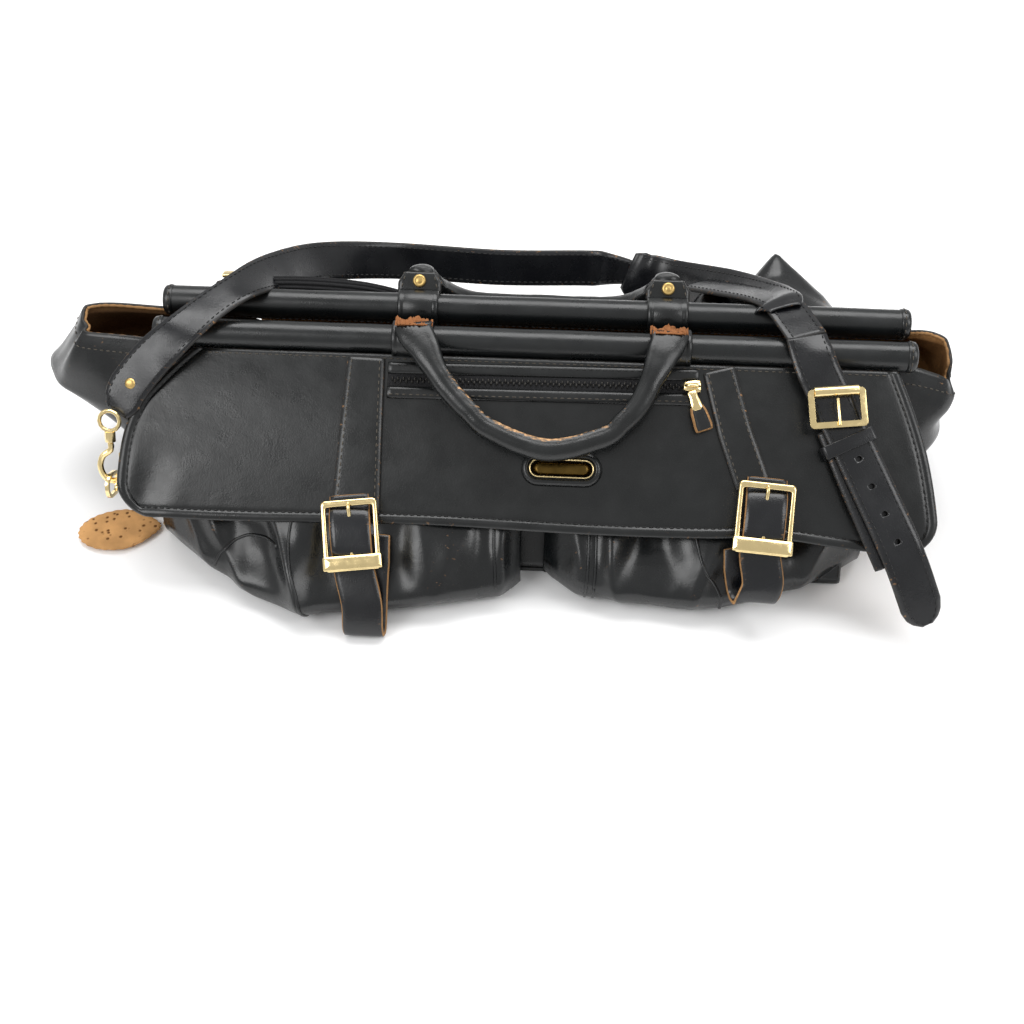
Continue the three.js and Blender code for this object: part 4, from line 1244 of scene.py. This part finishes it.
def make_gusset(label, sign, crease, reach, rim, point, dip):
    """An end gusset. It reaches out furthest at the crease, a share of its height, where its plan comes to a
    point, and it dips at the mouth's rim."""
    u, v = np.meshgrid(np.linspace(0, 1, 110), np.linspace(0, 1, 66))
    turn, foot = math.pi * u, 6
    lowest, height, rim_rise = 2.0, 121.0, 8
    wall_z = lowest + height * v
    z = wall_z + rim_rise * v * np.sin(turn)
    front_y, rear_y = front_wall_y(np.maximum(wall_z, 5)) - 1, np.interp(wall_z, *REAR_SEAMS[sign])
    lower, upper = np.clip(v / crease, 0, 1), np.clip((v - crease) / (1 - crease), 0, 1)
    bulge = np.where(v < crease, foot + (reach - foot) * lower ** 1.15, reach + (rim - reach) * upper ** 0.9)
    square = np.where(v < crease, 0.9 + (point - 0.9) * lower, point + (0.5 - point) * upper)
    along = np.cos(turn)
    y = (front_y + rear_y) / 2 - (rear_y - front_y) / 2 * np.sign(along) * np.abs(along) ** square
    inset = foot_inset(v) * (1 - smooth_step(u, 0, 0.42))
    x = WALL_END - inset + (bulge + 5) * np.sin(turn) ** square

    flat = xyz(u * 170, v * 120, 0)
    fan = 2.4 * np.sin((u - 0.5) * 26 / (0.35 + v)) * smooth_step(v, 0.25, 0.9)
    creases = ridged(flat * [1, 0.55, 1], 78, 50 + sign)
    push = (fan + 4.0 * (creases - 0.5) + 1.6 * wobble(flat, 44, 53)) * np.sin(turn) ** 0.5
    mouth = dip * bump_at(u, 0.36, 0.17) * smooth_step(v, 0.55, 1.0)
    z = z + 0.35 * push * (1 - v) - mouth
    grid = xyz(sign * (x + push + 0.5 * mouth), y, np.maximum(z, 1.6))
    if (grid_normals(grid)[..., 0] * sign).mean() < 0:
        grid, creases = grid[:, ::-1], creases[:, ::-1]
    piece = Piece(f"{label}_gusset_leather", POCKET, DARK_FLESH if sign < 0 else FLESH, INKED_EDGE)
    piece.shell(grid, 2.3, 0.10 * creases ** 5)
    normal = grid_normals(grid)
    piece.stitches(grid[-6, 4:-4] + normal[-6, 4:-4] * 1.3, normal[-6, 4:-4], PALE_THREAD)
    binding = grid[-1, 3:-3] - normal[-1, 3:-3] * 1.7 + np.array([0, 0, -0.6])
    scallop = 0.75 + 0.45 * np.abs(np.sin(np.linspace(0, 75, len(binding))))
    piece.rod(binding, scallop, 7, piece.material_slot(EDGE))
    piece.make(None, [f"{label}_gusset"], "black_leather",
               blend=("bag_body", "rear_half", (0, -45, 60), (0, 85, 60)))


# ------------------------------------------------------------------ shoulder strap

STRAP_ORIGIN, STRAP_TURN, STRAP_WIDTH = (200.0, 32.0), math.radians(26), 27.0
UNDER, OVER = 11.4, 14.7         # heights of the short strap and the tongue above it
STRAP_SIDES = (STRAP, FLESH, INKED_EDGE)


def on_strap(local):
    """Points in the frame of the strap that lies on the flap: -y runs down it, and z out of it."""
    local = np.asarray(local, float)
    across, up = turned(local, STRAP_TURN)
    return on_flap(STRAP_ORIGIN[0] + across, STRAP_ORIGIN[1] - up, local[..., 2])


def rivet(piece, centre, normal, radius, material):
    """A domed rivet that becomes part of a piece."""
    normal = unit(normal)
    side = unit(np.cross(normal, [0.3, 0.2, 0.9]))
    cosine, sine = circle(22)
    spokes = cosine[:, None] * side + sine[:, None] * np.cross(normal, side)
    rings = [centre + normal * lift + spokes * radius * share
             for share, lift in ((0.1, 1.5), (0.5, 1.35), (0.8, 0.9), (1.0, 0.1), (1.0, -0.8))]
    piece.tube(np.stack(rings), piece.material_slot(material))


def make_strap_behind():
    """The strap from its left front end, over the rails and down behind the bag."""
    # Each row is a point of the strap's middle, and the way across it there.
    keys = [(-281, -64, 102, 0.7, -0.5, -0.5), (-277, -60, 108, 0.7, -0.5, -0.5),
            (-272, -52, 116, 0.7, -0.52, -0.47), (-257, -41, 131, 0.72, -0.55, -0.4),
            (-237, -29, 146, 0.78, -0.6, -0.15), (-219, -6, 150.6, 0.8, -0.6, 0),
            (-200, 18, 150.2, 0.75, -0.66, -0.1), (-184, 62, 129, 0.5, -0.6, -0.6),
            (-161, 105, 104, 0.25, -0.5, -0.8), (-110, 140, 79, 0, -0.4, -0.92),
            (-32, 150, 68, 0, -0.38, -0.92), (34, 154, 67, 0, -0.38, -0.92), (54, 160, 62, 0, -0.38, -0.92),
            (72, 165, 56, 0, -0.4, -0.92)]
    route = curve_through(keys, 180)
    path, across = route[:, :3], route[:, 3:]
    t = np.linspace(0, 1, len(path))
    widths = np.interp(t, [0, 0.015, 0.04, 0.94, 1], [17, 24, STRAP_WIDTH, STRAP_WIDTH, 18])
    piece = strap_piece("shoulder_strap_behind", path, across, widths, 2.8, STRAP_SIDES, THREAD, 2.6)
    out = np.cross(unit(across), unit(np.gradient(path, axis=0)))[8]
    rivet(piece, path[8] + unit(out) * 1.5, out, 3.9, AGED_BRASS)
    piece.make(None, ["shoulder_strap_front_end", "shoulder_strap_back"], "strap_leather",
               blend=("bag_body", "rear_half", (0, -12, 148), (0, 16, 148)))


def make_pad():
    """The shoulder pad, which comes up behind the bag to the rear rail."""
    # Each row is a point of the pad's nearer edge, and the way across the pad there.
    keys = [(57, 158, 82, 0.66, -0.5, -0.56), (76, 151, 82, 0.48, -0.5, -0.70),
            (109, 138, 88, 0.15, -0.55, -0.8), (148, 95, 114, -0.15, -0.6, -0.78),
            (171, 57, 136, -0.55, -0.62, -0.55), (185, 31, 149.5, -0.86, -0.45, -0.18),
            (190, 17, 152.5, -0.92, -0.38, -0.05)]
    edge = curve_through(keys, 90)
    across = unit(edge[:, 3:])
    t = np.linspace(0, 1, len(edge))
    width = np.interp(t, [0, 0.03, 0.10, 0.5, 0.85, 0.95, 1], [30, 37, 41, 42, 39, 33, 22])
    columns = 25
    to_middle, crown = 20, 1.4
    grid = ribbon_grid(edge[:, :3] + across * to_middle, across, width, columns, crown)
    v = np.linspace(-1, 1, columns)
    swell = 4.0 * (1 - np.abs(v) ** 3.0) * smooth_step(np.minimum(t, 1 - t), 0, 0.06)[:, None]
    thick = 1.7 + swell + 0.25 * wobble(grid, 26, 61) * (1 - v ** 4)
    piece = Piece("shoulder_pad_leather", STRAP, STRAP, STRAP)
    piece.shell(grid, thick, rim_wear(grid, 0.2))
    normal = grid_normals(grid)
    top = grid + normal * (thick[..., None] / 2 + 0.2)
    for column in (2, -3):
        piece.stitches(top[3:-3, column], normal[3:-3, column])
    pad = piece.make("rear_half", ["shoulder_pad"], "strap_leather")


def make_strap_over_rails():
    """The short length of strap under the pad, which crosses the rails to the flap."""
    keys = [(120, 98, 99), (140, 70, 117.5), (160, 40, 137), (170, 19, 147.6), (178, 1, 148.2),
            (184.5, -14.5, 147.6)]
    path, across = curve_through(keys, 60), (-0.93, -0.36, 0)
    piece = strap_piece("shoulder_strap_over_rails", path, across, STRAP_WIDTH, 2.8, STRAP_SIDES, THREAD, 3.4)
    piece.make(None, (), "strap_leather", blend=("rear_half", "bag_body", (0, 17, 148), (0, -8, 148)))


def punch_holes(obj):
    """Cuts the four round holes in the tongue, and leaves the object with the punched mesh."""
    cutter = Piece("cutter", INKED_EDGE)
    cosine, sine = circle(18)
    radius, reach = 1.9, 6
    for y in (-45, -65, -85, -105):
        rings = [on_strap(xyz(radius * cosine, y + radius * sine, OVER + z)) for z in (-reach, reach)]
        cutter.tube(np.stack(rings)[:, ::-1])
    tool = cutter.make("flap")
    solid = bmesh.new()
    solid.from_mesh(tool.data)
    bmesh.ops.recalc_face_normals(solid, faces=solid.faces)
    solid.to_mesh(tool.data)
    solid.free()
    punch = obj.modifiers.new("holes", "BOOLEAN")
    punch.object, punch.solver, punch.operation, punch.use_self = tool, "EXACT", "DIFFERENCE", True
    bpy.context.view_layer.update()
    evaluated = obj.evaluated_get(bpy.context.evaluated_depsgraph_get())
    punched = bpy.data.meshes.new_from_object(evaluated)
    obj.modifiers.clear()
    obj.data = punched
    bpy.data.objects.remove(tool)


def make_tongue():
    """The long end of the strap, with its punched holes, and the short strap under it."""
    start = [(184.0, -15.5, 147.8)]
    onto_flap = on_flap([187.5, 191.0], [3.5, 13.5], [15.2, 16.2])
    tail = on_strap([(0, 11, OVER + 1), (0, -10, OVER), (0, -40, OVER), (0, -75, OVER), (0, -104, OVER),
                     (0, -124, OVER - 4), (0, -144, OVER - 12.5), (0, -163.5, OVER - 22)])
    path = curve_through(np.vstack([start, onto_flap, tail]), 190)
    t = np.linspace(0, 1, len(path))
    width = np.interp(t, [0, 0.93, 0.965, 0.985, 1], [STRAP_WIDTH, STRAP_WIDTH, 23, 17, 7])
    side = on_strap([-1.0, 0, 0]) - on_strap([0.0, 0, 0])
    settled = smooth_step(t, 0, 0.08)[:, None]
    across = (1 - settled) * np.array([-0.95, -0.3, 0]) + settled * side
    piece = strap_piece("shoulder_strap_tongue_leather", path, across, width, 2.8, STRAP_SIDES, THREAD, 3.4)
    obj = piece.make("flap")
    obj.parent = None
    punch_holes(obj)
    del obj["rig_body"]
    end = on_strap([0, 11, OVER])
    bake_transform(obj)
    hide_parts("shoulder_strap_tongue")

    keys = on_strap([(-3, -20, UNDER), (-5, -60, UNDER), (-6, -104, UNDER - 1), (-6, -117, UNDER - 2.5)])
    path, name = curve_through(keys, 60), "shoulder_strap_short_leather"
    piece = strap_piece(name, path, side, STRAP_WIDTH, 2.6, STRAP_SIDES, THREAD, 3.4)
    piece.make("flap", ["shoulder_strap_short"], "strap_leather")


def make_keeper():
    """The leather loop round the tongue and the short strap, which slides along them."""
    clearance, leather, half_length = 0.5, 1.4, 4.5
    low, high = UNDER - leather - clearance, OVER + leather + clearance
    inner, outer = rounded_frame(34, high - low, 1.4), rounded_frame(37.6, high - low + 3.6, 3.0)
    near_inner, near_outer = inner * 0.97 + outer * 0.03, outer * 0.9 + inner * 0.1
    section = [(inner, -4.0), (inner, 4.0), (near_inner, half_length), (near_outer, half_length),
               (outer, 3.9), (outer, -3.9), (near_outer, -half_length), (near_inner, -half_length)]
    rings = np.stack([xyz(xz[:, 0] - 1.5, y - 33, xz[:, 1] + (low + high) / 2) for xz, y in section], 1)
    loop = Piece("shoulder_strap_keeper_leather", STRAP)
    loop.tube(on_strap(rings), closed=True)
    loop.make("strap_keeper", ["shoulder_strap_keeper"], "strap_leather")


# ------------------------------------------------------------------ rear zip, tag and small metal


def make_rear_zip():
    """The zip's tape, bunched up in a ridge with four pleats."""
    keys = [(-228, 41, 126), (-205, 40.5, 129), (-165, 40, 131), (-125, 40, 129), (-96, 41, 123)]
    ridge = curve_through(keys, 90)
    swell = np.sin(math.pi * np.linspace(0, 1, len(ridge))) ** 0.5
    piece = Piece("rear_zip_ridge", TAPE, TAPE, TAPE)
    cosine, sine = circle(18)
    full = swell[:, None]
    piece.tube(ridge[:, None] + xyz(0, (4.2 + 2.6 * full) * cosine, (5.2 + 2.0 * full) * sine))
    for lean in (-0.9, -0.45, 0.0, 0.45):
        side, up = (4.4 + 2.6 * swell) * math.sin(lean) - 0.4, (5.0 + 2.0 * swell) * math.cos(lean)
        piece.rod(ridge + xyz(0, side, up), 1.15, 8)
    piece.make("rear_half", ["rear_zip_tape"], "zip_tape")


def mirrored(half):
    """A closed outline from the half of it that lies on the side where y is negative."""
    return np.array(half + [(x, -y) for x, y in half[::-1]])


def make_flap_slider():
    """The slider of the flap's zip, with the arch that holds its pull."""
    x, down, height = flap_place(centre_mm("flap_zip_slider"))
    slider = Piece("flap_zip_slider_brass", BRASS)
    outline = mirrored([(-6, -2.6), (-3, -3.4), (2, -4.3), (5.4, -4.0), (6, -2)])
    layers = [(0.3, -1.6), (0.9, -1.6), (1.0, -1.0), (1.0, 0.7), (0.88, 1.3), (0.3, 1.6)]
    rings = np.stack([at_height(outline * share, lift) for share, lift in layers])
    slider.tube(on_flap(x + rings[..., 0], down - rings[..., 1], height + rings[..., 2]))
    arch = curve_through([(-4.5, 0, 1.0), (-3.2, 0, 3.0), (0, 0, 3.8), (3.4, 0, 3.0), (4.6, 0, 1.0)], 20)
    slider.rod(on_flap(x + arch[:, 0], down - arch[:, 1], height + arch[:, 2]), 1.0, 9)
    slider.make("flap_zip_runner", ["flap_zip_slider"], "brass")


def make_pull():
    """The brass pull of the flap's zip and its leather tab."""
    world, link = centre_mm("flap_zip_pull_tab"), centre_mm("flap_zip_pull_link")
    along = unit(world - link)
    side = unit(np.cross(FLAP_OUT, along))
    out = np.cross(along, side)
    tab = Piece("flap_zip_pull_tab_leather", HANDLE, HANDLE, EDGE)
    t = np.linspace(0, 1, 16)
    path = world + along * (-7.5 + 15.5 * t)[:, None] + out * (0.9 * np.sin(math.pi * t))[:, None]
    width = np.interp(t, [0, 0.2, 0.8, 1], [7.5, 9.0, 10.5, 10.0])
    tab.shell(facing(ribbon_grid(path, side, width, 9, 0.5), out), 3.2)
    tab.make("flap_zip_pull", ["flap_zip_pull_tab"], "handle_leather")
    pull = Piece("flap_zip_pull_brass", BRASS)
    outline = mirrored([(-7.4, -2.2), (-6.6, -3.2), (-3, -3.0), (2, -3.8), (5.4, -3.6), (6.6, -2)])
    layers = [(0.3, 0.3), (0.92, 0.3), (1.0, 0.8), (1.0, 1.4), (0.9, 1.9), (0.3, 2.1)]
    rings = [link + out * lift + along * (outline[:, :1] * share + 0.6) + side * outline[:, 1:] * share
             for share, lift in layers]
    pull.tube(np.stack(rings))
    pull.make("flap_zip_pull", ["flap_zip_pull_link"], "brass")


def make_tag():
    """The suede tag, with a scalloped edge, flat on the floor."""
    low, high = box_mm("luggage_tag")
    half_length, half_width, turn = (high[0] - low[0]) / 2, 19.0, math.radians(10)
    cosine, sine = circle(120)
    narrowing = np.where(cosine > 0, 1 - 0.45 * cosine ** 2, 1)
    pinked = 1 + 0.016 * np.cos(np.linspace(0, 26 * FULL_TURN, 120, endpoint=False))
    outline = xyz(cosine * half_length, sine * half_width * narrowing, 0) * pinked[:, None]
    outline = xyz(*turned(outline, turn), 0)
    layers = [(0.05, 1.7), (0.5, 1.6), (0.85, 1.5), (0.97, 1.2), (1.0, 0.0), (0.97, -1.2), (0.5, -1.4),
              (0.05, -1.4)]
    rings = []
    for share, z in layers:
        ring = outline * share + (low + high) / 2
        ring[:, 2] += z + 0.35 * wobble(ring, 30, 71, 1)
        rings.append(ring)
    piece = Piece("luggage_tag_suede", SUEDE)
    piece.tube(np.stack(rings))
    piece.make("tag", ["luggage_tag"], "tan_suede")


def refine(names, material, bevel):
    """Gives CAD nodes their material and softens their hard edges, by a bevel in mm."""
    for name in names:
        obj = frame["nodes"][name]
        obj.data.materials.clear()
        obj.data.materials.append(material)
        weld = obj.modifiers.new("weld", "WELD")
        weld.merge_threshold = 0.00002
        soften = obj.modifiers.new("bevel", "BEVEL")
        soften.width = bevel * MM
        soften.segments = 3
        soften.limit_method = "ANGLE"
        soften.angle_limit = math.radians(35)
        for polygon in obj.data.polygons:
            polygon.use_smooth = True


def finish_cad_nodes():
    """The pieces that are shown as they are in the CAD."""
    refine(["base_stiffener_board"], BOARD, 0.4)
    refine(["front_rail_rod", "rear_rail_rod"], STEEL, 0.4)
    refine(["shoulder_buckle_frame", "d_ring_left", "d_ring_right"], BRASS, 0.8)
    refine(["shoulder_buckle_roller", "shoulder_buckle_prong"], BRASS, 0.3)
    refine(["snap_hook_gate", "luggage_tag_ring"], BRASS, 0.3)
    refine(["snap_hook_swivel_eye", "snap_hook_body"], BRASS, 0.25)
    refine(["rear_zip_slider"], BRASS, 0.9)


# ------------------------------------------------------------------ the whole bag

add_camera()
add_stage()
make_flap()
make_flap_hardware()
make_flap_zip()
make_plate()
make_rails()
make_front_handle()
make_rear_handle()
make_front_wall()
make_back_wall()
make_base()
make_pocket("left")
make_pocket("right")
make_gusset("left", -1, crease=0.61, reach=128, rim=88, point=1.15, dip=5)
make_gusset("right", 1, crease=0.52, reach=68, rim=54, point=0.75, dip=24)
make_strap_behind()
make_pad()
make_strap_over_rails()
make_tongue()
make_keeper()
make_rear_zip()
make_flap_slider()
make_pull()
make_tag()
finish_cad_nodes()
